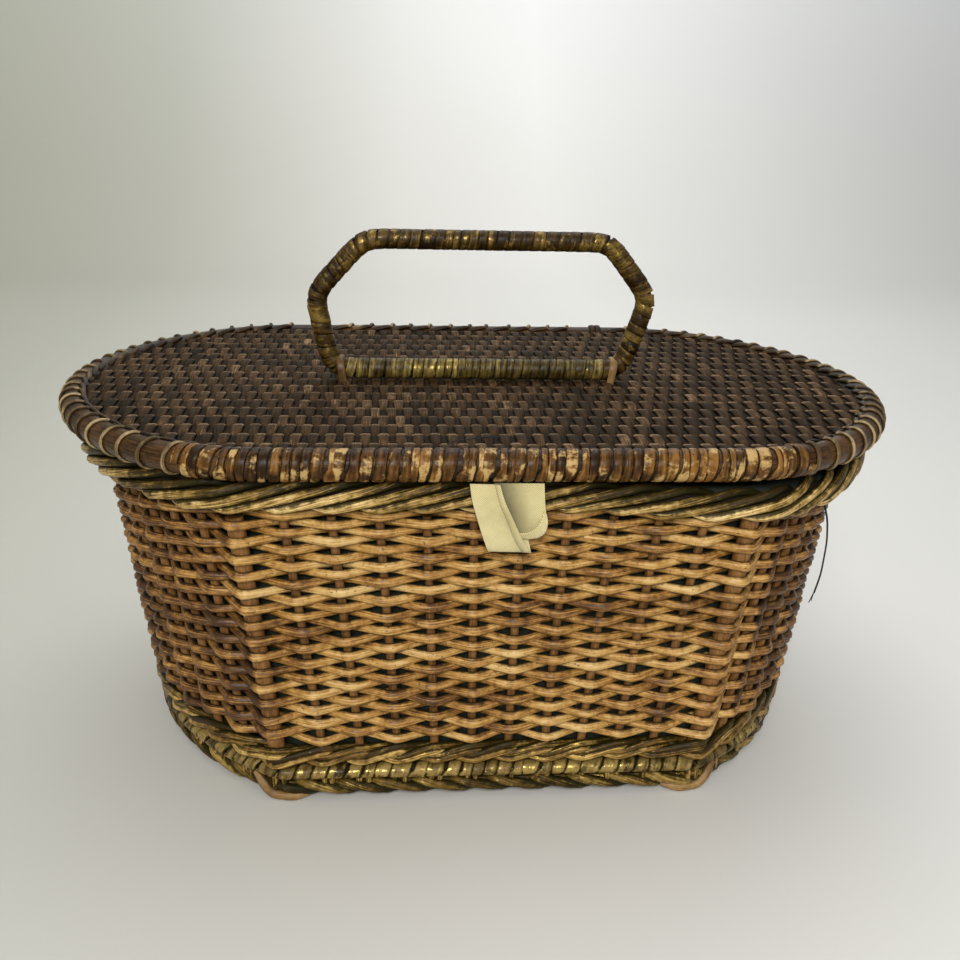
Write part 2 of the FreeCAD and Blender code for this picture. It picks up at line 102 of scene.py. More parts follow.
TAPE_SECTION = np.array([
    [1, 1, 0.97, 0.6, 0.2, -0.2, -0.6, -0.97, -1, -1, -0.97, -0.6, -0.2, 0.2, 0.6, 0.97],
    [-0.3, 0.3, 0.5, 0.42, 0.42, 0.42, 0.42, 0.5, 0.3, -0.3, -0.5, -0.42, -0.42, -0.42, -0.42, -0.5],
]) * [[0.5], [1.0]]

# ---- Measuring the frame ----

def cad_points(node):
    """Vertices of a CAD node, in millimetres."""
    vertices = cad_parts[node].data.vertices
    values = np.empty(3 * len(vertices), np.float32)
    vertices.foreach_get("co", values)
    return values.reshape(-1, 3).astype(float) / MM


def cad_box(node):
    points = cad_points(node)
    return points.min(0), points.max(0)


def cad_heights(node):
    """Middle height of a CAD node, and half its height."""
    low, high = cad_box(node)
    return (low[2] + high[2]) / 2, (high[2] - low[2]) / 2


def footprint(node, inset=0.0):
    """Outline of a CAD node seen from above, moved in by inset."""
    return Loop(cad_points(node)[:, :2], inset)


def unit(vectors):
    return vectors / np.linalg.norm(vectors, axis=-1, keepdims=True)


def square_to(vectors, along):
    """The vectors turned square to these unit directions."""
    return unit(vectors - along * np.sum(vectors * along, axis=1, keepdims=True))


def smoothstep(x):
    x = np.clip(x, 0, 1)
    return x * x * (3 - 2 * x)


def hull(points):
    """Convex outline of points in a plane, anticlockwise."""
    ordered = sorted(set(map(tuple, np.round(points, 3))))
    outline = []
    for run in (ordered, ordered[::-1]):
        chain = []
        for x, y in run:
            while len(chain) > 1:
                (ax, ay), (bx, by) = chain[-2:]
                if (bx - ax) * (y - ay) - (by - ay) * (x - ax) > 0:
                    break
                chain.pop()
            chain.append((x, y))
        outline += chain[:-1]
    return np.array(outline)


def walked(points, closed=False):
    """How far along their line each of the points lies, and, if it is closed, its end."""
    if closed:
        points = np.vstack([points, points[:1]])
    return np.concatenate([[0], np.cumsum(np.linalg.norm(np.diff(points, axis=0), axis=1))])


def resample(points, count):
    """The closed line through points as count points an equal distance apart, and its length."""
    reached = walked(points, closed=True)
    places = np.arange(count) * reached[-1] / count
    columns = [np.interp(places, reached, np.append(column, column[0])) for column in points.T]
    return np.stack(columns, 1), reached[-1]


def averaged(values, spread):
    """Rows of values averaged over this many neighbours on each side, which the ends then lack."""
    kernel = np.hanning(2 * spread + 3)[1:-1]
    kernel /= kernel.sum()
    return np.stack([np.convolve(column, kernel, "valid") for column in values.T], 1)


class Loop:
    """Closed convex line in a plane, walked anticlockwise from the middle of its lower side."""

    def __init__(self, points, inset=0.0, rounding=0.0):
        outline, length = resample(hull(points), 2000)
        outline = outline - self.outward(outline, 9) * inset
        if rounding:
            outline = self.smoothed(outline, int(rounding / length * 1000))
        outline, self.length = resample(outline, 2000)
        start = np.argmin(outline[:, 1] + 0.01 * np.abs(outline[:, 0]))
        self.points = np.roll(outline, -start, axis=0)
        self.normals = self.outward(self.points, 25)

    @staticmethod
    def smoothed(values, spread):
        return averaged(np.vstack([values[-spread:], values, values[:spread]]), spread)

    @staticmethod
    def outward(points, spread):
        along = np.roll(points, -1, axis=0) - np.roll(points, 1, axis=0)
        smooth = Loop.smoothed(along, spread // 2)
        return unit(np.stack([smooth[:, 1], -smooth[:, 0]], 1))

    def evenly(self, count):
        """Distances of count places spread evenly round the loop."""
        return np.arange(count) / count * self.length

    def at(self, distance):
        """Points on the line at these distances, and the outward directions there."""
        place = np.mod(np.asarray(distance, float) / self.length, 1) * len(self.points)
        i = np.floor(place).astype(int) % len(self.points)
        j = (i + 1) % len(self.points)
        part = (place - np.floor(place))[..., None]
        point = self.points[i] * (1 - part) + self.points[j] * part
        return point, unit(self.normals[i] * (1 - part) + self.normals[j] * part)

    def level(self, distance, z):
        """The same in space, at height z."""
        point, out = self.at(distance)
        z = np.broadcast_to(z, point.shape[:-1])[..., None]
        return np.concatenate([point, z], -1), np.concatenate([out, np.zeros_like(z)], -1)

    def half_span(self, place, axis):
        """Half the loop's width square to an axis, at these distances from its middle."""
        side = self.points[self.points[:, 1 - axis] >= 0]
        side = side[np.argsort(side[:, axis])]
        return np.interp(place, side[:, axis], side[:, 1 - axis])


def drift(count, bump, amount):
    """Gentle random wandering of a closed run of values, with bumps about this many values long."""
    knots = max(int(count / bump), 3)
    values = random.normal(0, amount, knots)
    place = np.arange(count) * knots / count
    i = np.floor(place).astype(int)
    part = smoothstep(place - i)
    return values[i % knots] * (1 - part) + values[(i + 1) % knots] * part


# ---- Canes as meshes ----

def round_section(radius, sides=8, flatten=1.0):
    angles = (np.arange(sides) + 0.5) * 2 * np.pi / sides
    return np.stack([radius * np.cos(angles), radius * flatten * np.sin(angles)], 1)


def flat_section(width, thickness, shoulder=0.25):
    """Split cane: a flat back and a crowned face whose edges are this share of its height."""
    half = width / 2
    rise = thickness / 2
    edge, bend = rise * shoulder, rise * (0.8 + 0.2 * shoulder)
    return np.array([(half, -rise), (half, edge), (half * 0.72, bend), (half * 0.25, rise),
                     (-half * 0.25, rise), (-half * 0.72, bend), (-half, edge), (-half, -rise)])


def strip_section(width, thickness):
    """Thin split cane with a crowned face, for the many strips of the lid."""
    half, rise = width / 2, thickness / 2
    return np.array([(half, -rise), (half, rise * 0.2), (half * 0.55, rise),
                     (-half * 0.55, rise), (-half, rise * 0.2), (-half, -rise)])


def tube_quads(rows, sides, closed=False):
    """Quads of a tube as numbers of its points, which go round each row in turn."""
    i, k = np.meshgrid(np.arange(rows if closed else rows - 1), np.arange(sides), indexing="ij")
    j, n = (i + 1) % rows, (k + 1) % sides
    return np.stack([i * sides + k, i * sides + n, j * sides + n, j * sides + k], -1).reshape(-1, 4)


def end_quads(sides):
    """Quads that close the first row of a tube."""
    return np.array([(a, a + 1, sides - 2 - a, sides - 1 - a) for a in range(sides // 2 - 1)])


def new_mesh(name, points, faces, uv):
    """Mesh from points in millimetres, with a UV pair for each corner of its faces."""
    mesh = bpy.data.meshes.new(name)
    mesh.from_pydata(points * MM, [], faces)
    mesh.uv_layers.new(name="UVMap").data.foreach_set("uv", uv.astype(np.float32).ravel())
    return mesh


def new_object(name, data):
    made = bpy.data.objects.new(name, data)
    bpy.context.scene.collection.objects.link(made)
    return made


def finish_piece(mesh, name, body, material, *nodes):
    """One piece on a body, standing for CAD nodes, with its material's slot."""
    mesh.validate()
    mesh.shade_smooth()
    mesh.materials.append(material)
    piece = new_object(name, mesh)
    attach(piece, body)
    if nodes:
        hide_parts(*nodes)


class Canes:
    """Collects swept canes and builds them as one mesh.

    The UV map holds millimetres along and round each cane. "tone" shades a cane, and "ridge" is 1 on
    its outward face and -1 on its back.
    """

    def __init__(self):
        self.parts = []
        self.count = 0

    def take(self, points, quads, uv, tones, ridges):
        self.parts.append((points, quads + self.count, uv, tones, ridges))
        self.count += len(points)

    def add(self, path, up, section, closed=False, scale=1.0, tone=0.5):
        """One cane along a path, its section's face turned up."""
        path = np.asarray(path, float)
        count, sides = len(path), len(section)
        ahead, behind = np.roll(path, -1, axis=0), np.roll(path, 1, axis=0)
        if not closed:
            ahead[-1], behind[0] = path[-1], path[0]
        along = unit(ahead - behind)
        up = square_to(up, along)
        scale = np.asarray(scale, float)
        ring = section * (scale if scale.ndim == 2 else scale.reshape(-1, 1))[:, None]
        side = np.cross(up, along)[:, None] * ring[..., :1]
        points = (path[:, None] + side + up[:, None] * ring[..., 1:]).reshape(-1, 3)
        tones = np.repeat(np.broadcast_to(tone, count), sides)
        ridges = np.tile(section[:, 1] / np.abs(section[:, 1]).max(), count)
        quads, uv = self.cover(path, section, closed)
        self.take(points, quads, uv, tones, ridges)

    @staticmethod
    def cover(path, section, closed):
        """Quads along a cane and over its ends, and the UV pairs of their corners."""
        count, sides = len(path), len(section)
        quads = tube_quads(count, sides, closed)
        u = walked(path, closed) + random.uniform(0, UV_SHIFT)
        v = walked(section, closed=True) + random.uniform(0, UV_SHIFT)
        corner_u = np.stack([u[:-1], u[:-1], u[1:], u[1:]], -1)[:, None]
        corner_v = np.stack([v[:-1], v[1:], v[1:], v[:-1]], -1)[None]
        uv = np.stack(np.broadcast_arrays(corner_u, corner_v), -1).reshape(-1, 2)
        if not closed:
            ends = end_quads(sides)
            quads = np.vstack([quads, ends[:, ::-1], ends + (count - 1) * sides])
            caps = section[ends].reshape(-1, 2)
            uv = np.vstack([uv, caps + [u[0], v[0]], caps + [u[-1], v[0]]])
        return quads, uv

    def build(self, name, body, material, *nodes):
        points, quads, uv, tones, ridges = map(np.concatenate, zip(*self.parts))
        mesh = new_mesh(name, points, quads.tolist(), uv)
        for label, values in (("tone", tones), ("ridge", ridges)):
            layer = mesh.attributes.new(label, "FLOAT", "POINT")
            layer.data.foreach_set("value", values.astype(np.float32))
        finish_piece(mesh, name, body, material, *nodes)


def core(name, body, middle, out, section, tone, *nodes):
    """Dark cane inside a wound or plaited ring."""
    canes = Canes()
    canes.add(middle, out, section, closed=True, tone=tone)
    canes.build(name, body, dark_core, *nodes)


def widened(width):
    """Scale that widens a cane but keeps its thickness."""
    return np.stack([width, np.ones_like(width)], 1)


def tapered(count, start=0.0, end=0.0, tip=0.35):
    """Scale along a cane that narrows over these shares of its length."""
    place = np.linspace(0, 1, count)
    scale = np.ones(count)
    if start:
        scale *= tip + (1 - tip) * np.sqrt(smoothstep(place / start))
    if end:
        scale *= tip + (1 - tip) * np.sqrt(smoothstep((1 - place) / end))
    return scale


def winding(canes, centre_line, start, end, pitch, radii, unevenness=0.15, steps=12, tones=0.2,
            thickness=0.9, shoulder=0.25, overlap=0.92, across=UP):
    """Cane wound closely round a line from start to end, each turn a little wider or narrower.

    centre_line(distance) gives the line's middle and its outward direction; across is square to both.
    """
    turns = max(int((end - start) / pitch), 1)
    widths = np.clip(random.normal(1, unevenness, turns), 0.6, 1.5)
    widths *= (end - start) / widths.sum()
    edges = np.concatenate([[0], np.cumsum(widths)]) + start
    turn = np.arange(turns * steps + 1) / steps
    middle, out = centre_line(np.interp(turn, np.arange(turns + 1), edges))
    angle = 2 * np.pi * turn
    cosine, sine = np.cos(angle)[:, None], np.sin(angle)[:, None]
    bulge = 1 + drift(len(turn), steps, 0.012)[:, None]
    path = middle + (out * cosine * radii[0] + across * sine * radii[1]) * bulge
    up = unit(out * cosine * radii[1] + across * sine * radii[0])
    index = np.clip(turn.astype(int), 0, turns - 1)
    width = widths[index] * overlap
    tone = np.clip(random.normal(0.5, tones, turns), 0, 1)[index]
    canes.add(path, up, flat_section(1.0, thickness, shoulder), scale=widened(width), tone=tone)


def plait(canes, loop, z, radii, count, section, span, tuck, lean=1, steps=30, sag=None, darker=0.0):
    """Strands laid side by side round an oval ring, each climbing its outer face and tucked in behind.

    span is how far a strand travels; tuck is the share of that in which it turns over and goes in.
    Its tone falls by darker towards its far end, for darker paint and painted shade there.
    """
    share = np.linspace(0, 1, steps)
    climb = np.clip(share / (1 - tuck), 0, 1)
    angle = np.arcsin(np.clip(-0.99 + 1.97 * climb, -1, 1))
    angle += np.radians(115) * np.clip((share - (1 - tuck)) / tuck, 0, 1)
    depth = 1 - 0.45 * (1 - smoothstep(share / 0.14)) - 0.4 * smoothstep((share - 0.86) / 0.14)
    for i in range(count):
        start = loop.length * (i + random.uniform(-0.06, 0.06)) / count
        distance = start + span * share
        middle, out = loop.level(distance, z)
        up = out * np.cos(angle)[:, None] + UP * (lean * np.sin(angle))[:, None]
        reach = depth * (1 + drift(steps, 10, 0.02))
        path = middle + out * (radii[0] * np.cos(angle) * reach)[:, None]
        path = path + UP * (lean * radii[1] * np.sin(angle) * reach)[:, None]
        if sag:
            path[:, 2] -= sag(middle)
        size = tapered(steps, 0.16, 0.1, 0.3) * random.uniform(0.9, 1.08)
        # Painted shade, with darker paint, towards the strand's far end.
        tone = np.clip(random.normal(0.5, 0.18), 0, 1) - darker * smoothstep((share - 0.25) / 0.45)
        canes.add(path, up, section, scale=size, tone=tone)


# ---- Materials ----

def plug(tree, sockets, inputs):
    """Sets sockets to values, where a colour is three of them, or links them to other nodes' outputs."""
    for key, value in inputs.items():
        socket = sockets[key]
        if isinstance(value, bpy.types.NodeSocket):
            tree.links.new(value, socket)
        else:
            socket.default_value = (*value, 1) if socket.type == "RGBA" else value


def add(tree, kind, inputs={}, **settings):
    """New shader node, with settings and inputs."""
    made = tree.nodes.new("ShaderNode" + kind)
    for key, value in settings.items():
        setattr(made, key, value)
    plug(tree, made.inputs, inputs)
    return made


def maths(tree, operation, a, b=0.0, c=0.0):
    return add(tree, "Math", {0: a, 1: b, 2: c}, operation=operation).outputs[0]


def times(tree, a, b):
    return maths(tree, "MULTIPLY", a, b)


def spread(tree, value, gain):
    """A noise value moved to centre on 0 and stretched."""
    return maths(tree, "MULTIPLY_ADD", value, gain, -0.5 * gain)


def total(tree, *values):
    result = values[0]
    for value in values[1:]:
        result = maths(tree, "ADD", result, value)
    return result


def remap(tree, value, low, high, to_low=0.0, to_high=1.0):
    limits = {"Value": value, "From Min": low, "From Max": high, "To Min": to_low, "To Max": to_high}
    return add(tree, "MapRange", limits, interpolation_type="SMOOTHSTEP").outputs["Result"]


def stretched(tree, vector, x, y, z=1.0):
    return add(tree, "VectorMath", {0: vector, 1: (x, y, z)}, operation="MULTIPLY").outputs[0]


def noise(tree, vector, scale=1.0, detail=3.0, roughness=0.55):
    inputs = {"Vector": vector, "Scale": scale, "Detail": detail, "Roughness": roughness}
    return add(tree, "TexNoise", inputs).outputs["Fac"]


def ramp(tree, factor, stops):
    """Colour ramp through (place, colour) stops."""
    made = add(tree, "ValToRGB", {"Fac": factor})
    elements = made.color_ramp.elements
    while len(elements) < len(stops):
        elements.new(0.5)
    for element, (place, colour) in zip(elements, stops):
        element.position = place
        element.color = (*colour, 1)
    return made.outputs["Color"]


def mix(tree, factor, a, b, blend="MIX"):
    inputs = {"Factor": factor, 6: a, 7: b}
    return add(tree, "Mix", inputs, data_type="RGBA", blend_type=blend).outputs[2]


def attribute(tree, name):
    return add(tree, "Attribute", attribute_name=name).outputs["Fac"]


def new_material(name, slot):
    material = bpy.data.materials.new(name)
    material.use_nodes = True
    material["slot"] = slot
    tree = material.node_tree
    tree.nodes.clear()
    surface = add(tree, "BsdfPrincipled")
    output = add(tree, "OutputMaterial")
    tree.links.new(surface.outputs[0], output.inputs[0])
    return material, tree, surface


def connect(tree, surface, **inputs):
    plug(tree, surface.inputs, {key.replace("_", " "): value for key, value in inputs.items()})


def bump(tree, height, distance):
    """Surface relief of this depth in millimetres."""
    inputs = {"Height": height, "Distance": distance * MM, "Strength": 1.0}
    return add(tree, "Bump", inputs).outputs["Normal"]


def in_millimetres(tree):
    place = add(tree, "TexCoord").outputs["Object"]
    return stretched(tree, place, 1000, 1000, 1000)


def cane(name, slot, shades, roughness=0.5, grime_and_shade=(0.02, 0.015, 0.01), groove=(0.55, -0.3), gilt=0.0,
         gold=(0.42, 0.30, 0.09), mottle=0.0, streak=1.3, patch=0.8, on_cad=False, shine=0.3, coat=0.0,
         specks=0.0):
    """Cane or reed with fibre streaks, blotches, dirt and painted shade in hollows and, if gilt, old gold
    paint.

    Shades are in thousandths. Dirt and painted shade start where "ridge" falls under the first groove
    value and are full at the second.
    """
    material, tree, surface = new_material(name, slot)
    in_mm = in_millimetres(tree)
    if on_cad:
        grain = stretched(tree, in_mm, 1.6, 1.6, 0.1)
        tone, ridge = 0.5, 1.0
    else:
        uv = add(tree, "UVMap", uv_map="UVMap").outputs["UV"]
        grain = stretched(tree, uv, 0.1, 2.2)
        tone, ridge = attribute(tree, "tone"), attribute(tree, "ridge")
    fibres = noise(tree, grain, 1.0, 4.0, 0.65)
    blotches = noise(tree, in_mm, 0.06, 3.0)
    spots = noise(tree, in_mm, 0.45, 4.0, 0.6)
    shade = total(tree, spread(tree, fibres, streak), spread(tree, blotches, patch),
                  spread(tree, spots, 0.7), tone)
    last = len(shades) - 1
    colour = ramp(tree, shade, [(0.1 + 0.8 * k / last, np.array(s) / 1000) for k, s in enumerate(shades)])
    if mottle:
        cloud = noise(tree, stretched(tree, uv, 0.15, 0.3), 1.0, 4.0, 0.7)
        cream = remap(tree, total(tree, cloud, spread(tree, shade, 0.1)), 0.52, 0.62)
        colour = mix(tree, times(tree, cream, mottle), colour, (0.50, 0.33, 0.125))
    rough = maths(tree, "MULTIPLY_ADD", spots, 0.3, roughness - 0.15)
    if gilt:
        flakes = total(tree, noise(tree, in_mm, 0.30, 5.0, 0.7), spread(tree, fibres, 0.5),
                       spread(tree, blotches, 0.6))
        paint = remap(tree, flakes, 0.72 - 0.3 * gilt, 0.84 - 0.3 * gilt)
        colour = mix(tree, times(tree, paint, 0.75), colour, gold)
        rough = maths(tree, "MULTIPLY_ADD", paint, -0.12, rough)
        connect(tree, surface, Metallic=times(tree, paint, 0.6))
    # Dirt and painted shade: the cane darkens in its hollows and on its back, and at dirt specks.
    dirt_and_shade = remap(tree, total(tree, spread(tree, spots, 1.4), spread(tree, fibres, 0.8), ridge), *groove)
    if specks:
        pits = remap(tree, noise(tree, in_mm, 1.0, 3.0, 0.6), 0.40, 0.30, 0.0, specks)
        dirt_and_shade = maths(tree, "MAXIMUM", dirt_and_shade, pits)
    colour = mix(tree, times(tree, dirt_and_shade, 0.92), colour, grime_and_shade)
    height = maths(tree, "MULTIPLY_ADD", spots, 0.5, fibres)
    connect(tree, surface, Base_Color=colour, Roughness=rough, Normal=bump(tree, height, 0.2),
            Specular_IOR_Level=shine, Coat_Weight=coat, Coat_Roughness=0.25)
    return material


def weave_pattern(tree, thread, twill):
    """Height of a cloth's threads, which are this many millimetres apart."""
    uv = add(tree, "UVMap", uv_map="UVMap").outputs["UV"]
    wave = {"Scale": 0.314 / thread, "Distortion": 0.6, "Detail": 2.0, "Detail Scale": 1.5}
    turns = (math.radians(57), math.radians(-33)) if twill else (0, math.pi / 2)
    heights = []
    for turn in turns:
        spun = add(tree, "VectorRotate", {"Vector": uv, "Angle": turn}, rotation_type="Z_AXIS")
        inputs = {"Vector": spun.outputs[0], **wave}
        heights.append(add(tree, "TexWave", inputs, bands_direction="X").outputs["Fac"])
    second = 0.25 if twill else 1.0
    both = total(tree, heights[0], times(tree, heights[1], second))
    return maths(tree, "DIVIDE", both, 1 + second)


def cloth(name, slot, colour, pale, thread=0.4, sheen=0.3, twill=False, roughness=0.8, toned=False):
    """Woven cloth; if toned, "tone" paints shade into its folds."""
    material, tree, surface = new_material(name, slot)
    place = in_millimetres(tree)
    weave = weave_pattern(tree, thread, twill)
    stain = noise(tree, place, 0.09, 4.0)
    fuzz = noise(tree, place, 2.5, 3.0)
    shade = total(tree, times(tree, weave, 0.5), times(tree, stain, 0.5))
    tint = mix(tree, remap(tree, shade, 0.2, 0.8), colour, pale)
    if toned:
        # Painted shade: tone darkens the tape in its folds and where one leg lies under the other.
        fold_shade = remap(tree, attribute(tree, "tone"), 0.0, 0.5, 0.22, 1.0)
        grey = add(tree, "CombineColor", {0: fold_shade, 1: fold_shade, 2: fold_shade}).outputs[0]
        tint = mix(tree, 1.0, tint, grey, "MULTIPLY")
    height = total(tree, weave, times(tree, fuzz, 0.4))
    connect(tree, surface, Base_Color=tint, Roughness=roughness, Sheen_Weight=sheen, Sheen_Roughness=0.4,
            Normal=bump(tree, height, 0.16))
    return material


# Dark paint, dirt and painted shade in the grooves of the gilded canes.
DARK_GREEN = (0.014, 0.012, 0.002)
PAINTED = {"slot": "gilded_cane", "grime_and_shade": DARK_GREEN}
WRAPPED = {"slot": "gilded_wrap", "roughness": 0.42, "groove": (0.9, 0.35), "specks": 0.5}
honey = cane("honey_reed", "honey_cane",
             [(50, 20, 4), (170, 74, 15), (350, 172, 38), (500, 290, 80), (620, 420, 170)],
             0.38, groove=(0.8, -0.1), streak=1.7, patch=0.9, coat=0.08, specks=0.8)
stake_wood = cane("stake_reed", "dark_cane", [(60, 26, 7), (170, 76, 20), (300, 150, 47)], 0.45, on_cad=True)
post_wood = cane("post_reed", "honey_cane", [(70, 28, 7), (200, 88, 22), (310, 158, 47)], 0.42,
                 on_cad=True, specks=0.6)
hook_reed = cane("bare_hook_reed", "gilded_cane", [(70, 36, 10), (240, 135, 42), (420, 270, 105)], 0.45,
                 grime_and_shade=(0.05, 0.028, 0.008), groove=(0.6, -0.3), specks=0.5)
gilded = cane("gilded_reed", roughness=0.4, groove=(0.95, 0.3), gilt=0.3, streak=2.0, specks=0.6, shine=0.15,
              shades=[(32, 20, 4), (125, 75, 14), (320, 195, 50), (560, 380, 140), (760, 570, 260)],
              **PAINTED)
painted = cane("gold_painted_reed", roughness=0.4, groove=(0.95, 0.3), gilt=0.5, streak=1.8, shine=0.1,
               shades=[(20, 12, 2), (62, 36, 6), (145, 86, 16), (360, 235, 65)],
               gold=(0.36, 0.25, 0.065), **PAINTED)
wale_reed = cane("olive_wale_reed", roughness=0.38, groove=(1.0, 0.35), gilt=0.5, streak=2.0, shine=0.14,
                 shades=[(28, 15, 2), (90, 50, 8), (240, 130, 26), (550, 360, 110)],
                 gold=(0.40, 0.28, 0.075), **PAINTED)
hoop_paint = cane("gold_hoop_strip", roughness=0.36, groove=(0.9, 0.3), gilt=0.7, streak=1.8, specks=0.6,
                  shine=0.15, shades=[(35, 22, 6), (130, 85, 24), (300, 200, 62)],
                  gold=(0.44, 0.31, 0.09), **PAINTED)
bronze = cane("bronzed_wrapping", shades=[(8, 4, 1), (29, 15, 2), (62, 35, 6), (180, 112, 24)],
              grime_and_shade=(0.008, 0.004, 0.001), gilt=0.6, streak=1.6, gold=(0.30, 0.195, 0.048), shine=0.16,
              **WRAPPED)
bar_bronze = cane("yellow_bronzed_wrapping", grime_and_shade=(0.010, 0.007, 0.002), gilt=0.45, streak=1.8,
                  shades=[(14, 9, 2), (50, 33, 6), (120, 83, 19), (300, 225, 65)],
                  gold=(0.27, 0.19, 0.045), shine=0.2, **WRAPPED)
rim_wrap = cane("mottled_binding", "rim_cane", [(18, 7, 1), (85, 36, 6), (230, 105, 21)], 0.36,
                (0.012, 0.006, 0.002), (0.85, 0.2), mottle=0.85, shine=0.16, specks=0.7, streak=1.8)
rim_rod = cane("glossy_rim_rod", "rim_cane", [(7, 3, 1), (26, 11, 2), (85, 38, 9)], 0.30,
               groove=(-0.6, -1.4), coat=0.08, streak=2.0, shine=0.16, specks=0.6)
pale_loop = cane("pale_loop_cane", "rim_cane", [(20, 11, 4), (55, 32, 12), (140, 90, 38), (360, 260, 130)],
                 0.4, groove=(0.4, -0.6), patch=1.6, specks=0.6, shine=0.15)
strap_cane = cane("orange_strap_cane", "rim_cane", [(35, 18, 4), (120, 62, 16), (260, 150, 48)], 0.4,
                  coat=0.1, specks=0.5)
lid_weave = cane("lid_cane_dust_and_painted_highlight", "lid_cane", [(13, 8, 3), (34, 19, 8), (75, 42, 17), (250, 160, 88)], 0.6,
                 (0.006, 0.004, 0.002), (0.7, 0.1), streak=1.3, patch=0.6, shine=0.06)
# Painted shade between the humps: the slats are darker than the strips, beyond their own dark colour.
lid_slat = cane("dark_lid_slat", "lid_cane", [(6, 4, 2), (20, 11, 5), (42, 25, 12)], 0.65, shine=0.05)
base_weave = cane("plain_base_cane", "woven_base", [(90, 50, 20), (220, 130, 60), (330, 210, 100)], 0.6)
dark_core = cane("dark_core", "dark_cane", [(10, 7, 3), (25, 16, 7)], 0.6, shine=0.1)
sateen = cloth("green_sateen", "lining_cloth", (0.008, 0.013, 0.006), (0.025, 0.040, 0.018), thread=0.45,
               sheen=0.05, roughness=0.55)
tape_cloth = cloth("cream_twill_tape", "tape", (0.40, 0.33, 0.13), (0.90, 0.79, 0.42), thread=0.42,
                   twill=True, toned=True)
black_thread = cloth("black_thread", "lining_cloth", (0.003, 0.003, 0.003), (0.012, 0.011, 0.010),
                     thread=0.3, sheen=0.0)

# ---- Wall ----

def upright_ends(node):
    """Middles of the lower and upper ends of a CAD node's stakes, going round the basket."""
    points = cad_points(node)
    ends = []
    for level in (points[:, 2].min(), points[:, 2].max()):
        cap = points[np.abs(points[:, 2] - level) < 1.5]
        cap = cap[np.argsort(np.arctan2(cap[:, 0], -cap[:, 1]))]
        gaps = np.linalg.norm(np.diff(cap[:, :2], axis=0), axis=1)
        groups = np.split(cap, np.flatnonzero(gaps > 7) + 1)
        ends.append(np.array([(g.min(0) + g.max(0)) / 2 for g in groups]))
    return ends


UPRIGHT_NODES = ("corner_posts", "face_stakes", "end_stakes")
uprights = [upright_ends(node) for node in UPRIGHT_NODES]
warp_foot, warp_head = (np.vstack(ends) for ends in zip(*uprights))
warp_order = np.argsort(np.arctan2(warp_foot[:, 0], -warp_foot[:, 1]))
warp_is_post = warp_order < len(uprights[0][0])
warp_foot, warp_head = warp_foot[warp_order], warp_head[warp_order]
WARPS = len(warp_foot)
warp_radius = np.where(warp_is_post, POST_RADIUS, STAKE_RADIUS)


def warps_at(z):
    """Middles of all the stakes and posts at height z, and the outward directions there."""
    part = (z - warp_foot[:, 2:]) / (warp_head - warp_foot)[:, 2:]
    points = warp_foot + (warp_head - warp_foot) * part
    along = unit(np.roll(points, -1, axis=0) - points) + unit(points - np.roll(points, 1, axis=0))
    return points, unit(np.stack([along[:, 1], -along[:, 0], np.zeros(WARPS)], 1))


def woven_round(z, reach, rise, radius, tone, canes, kink=0.8, bulge=ROD_KINK, samples=8):
    """One rod round the wall: reach is how far outside each warp it passes, rise its height there."""
    base, out = warps_at(z)
    part = (np.arange(samples) / samples)[None, :, None]
    bend = kink * (1 - 2 * part) + (1 - kink) * np.cos(np.pi * part)
    share = (1 + bend) / 2
    offset = out * reach[:, None] + UP * rise[:, None]
    start, end = offset[:, None], np.roll(offset, -1, axis=0)[:, None]
    path = base[:, None] * (1 - part) + np.roll(base, -1, axis=0)[:, None] * part
    path = (path + start * share + end * (1 - share)).reshape(-1, 3)
    up = (out[:, None] * share + np.roll(out, -1, axis=0)[:, None] * (1 - share)).reshape(-1, 3)
    path = path * 0.6 + (np.roll(path, 1, axis=0) + np.roll(path, -1, axis=0)) * 0.2
    count = len(path)
    path[:, 2] += drift(count, samples * 2, 0.08)
    at_warp = np.tile(np.abs(bend).reshape(-1) ** 3, WARPS)
    size = 1 + drift(count, samples * 3, 0.035)
    scale = np.stack([size * (1 + (bulge - 1) * at_warp), size], 1)
    shades = np.repeat(tone, samples) + drift(count, samples * 1.5, 0.06)
    canes.add(path, up, round_section(radius), closed=True, scale=scale, tone=shades)


def spliced_tones(middle, spread):
    """Shade of a rod at each warp: one value a piece, changing where a new piece is let in."""
    tones = np.empty(WARPS)
    at = 0
    while at < WARPS:
        length = random.integers(9, 26)
        tones[at:at + length] = random.normal(middle, spread)
        at += length
    return np.roll(tones, random.integers(WARPS))


def wall_rods():
    middle, half = cad_heights("randing_rods")
    first, climb = middle - half + ROD_RADIUS, 2 * (half - ROD_RADIUS)
    canes = Canes()
    is_end = np.abs(warp_foot[:, 0]) > np.abs(warp_foot[warp_is_post][:, 0]).max() + 1
    for row in range(RANDING_ROWS + ROWS_UNDER_BORDER):
        z = first + climb * row / (RANDING_ROWS - 1)
        side = np.where((np.arange(WARPS) + row) % 2 == 0, 1.0, -1.0)
        reach = side * (warp_radius + ROD_RADIUS * 1.08) + random.normal(0, ROD_WANDER_OUT, WARPS)
        rise = random.normal(0, ROD_WANDER_UP, WARPS)
        # Painted shade: the end walls and the wall's right end are darker.
        tone = spliced_tones(0.54, 0.10) - 0.24 * is_end - 0.10 * (warp_foot[:, 0] > SHADED_RIGHT_FROM)
        woven_round(z, reach, rise, ROD_RADIUS * random.uniform(0.92, 1.07), tone, canes)
    canes.build("wall_rods", "basket", honey, "randing_rods")


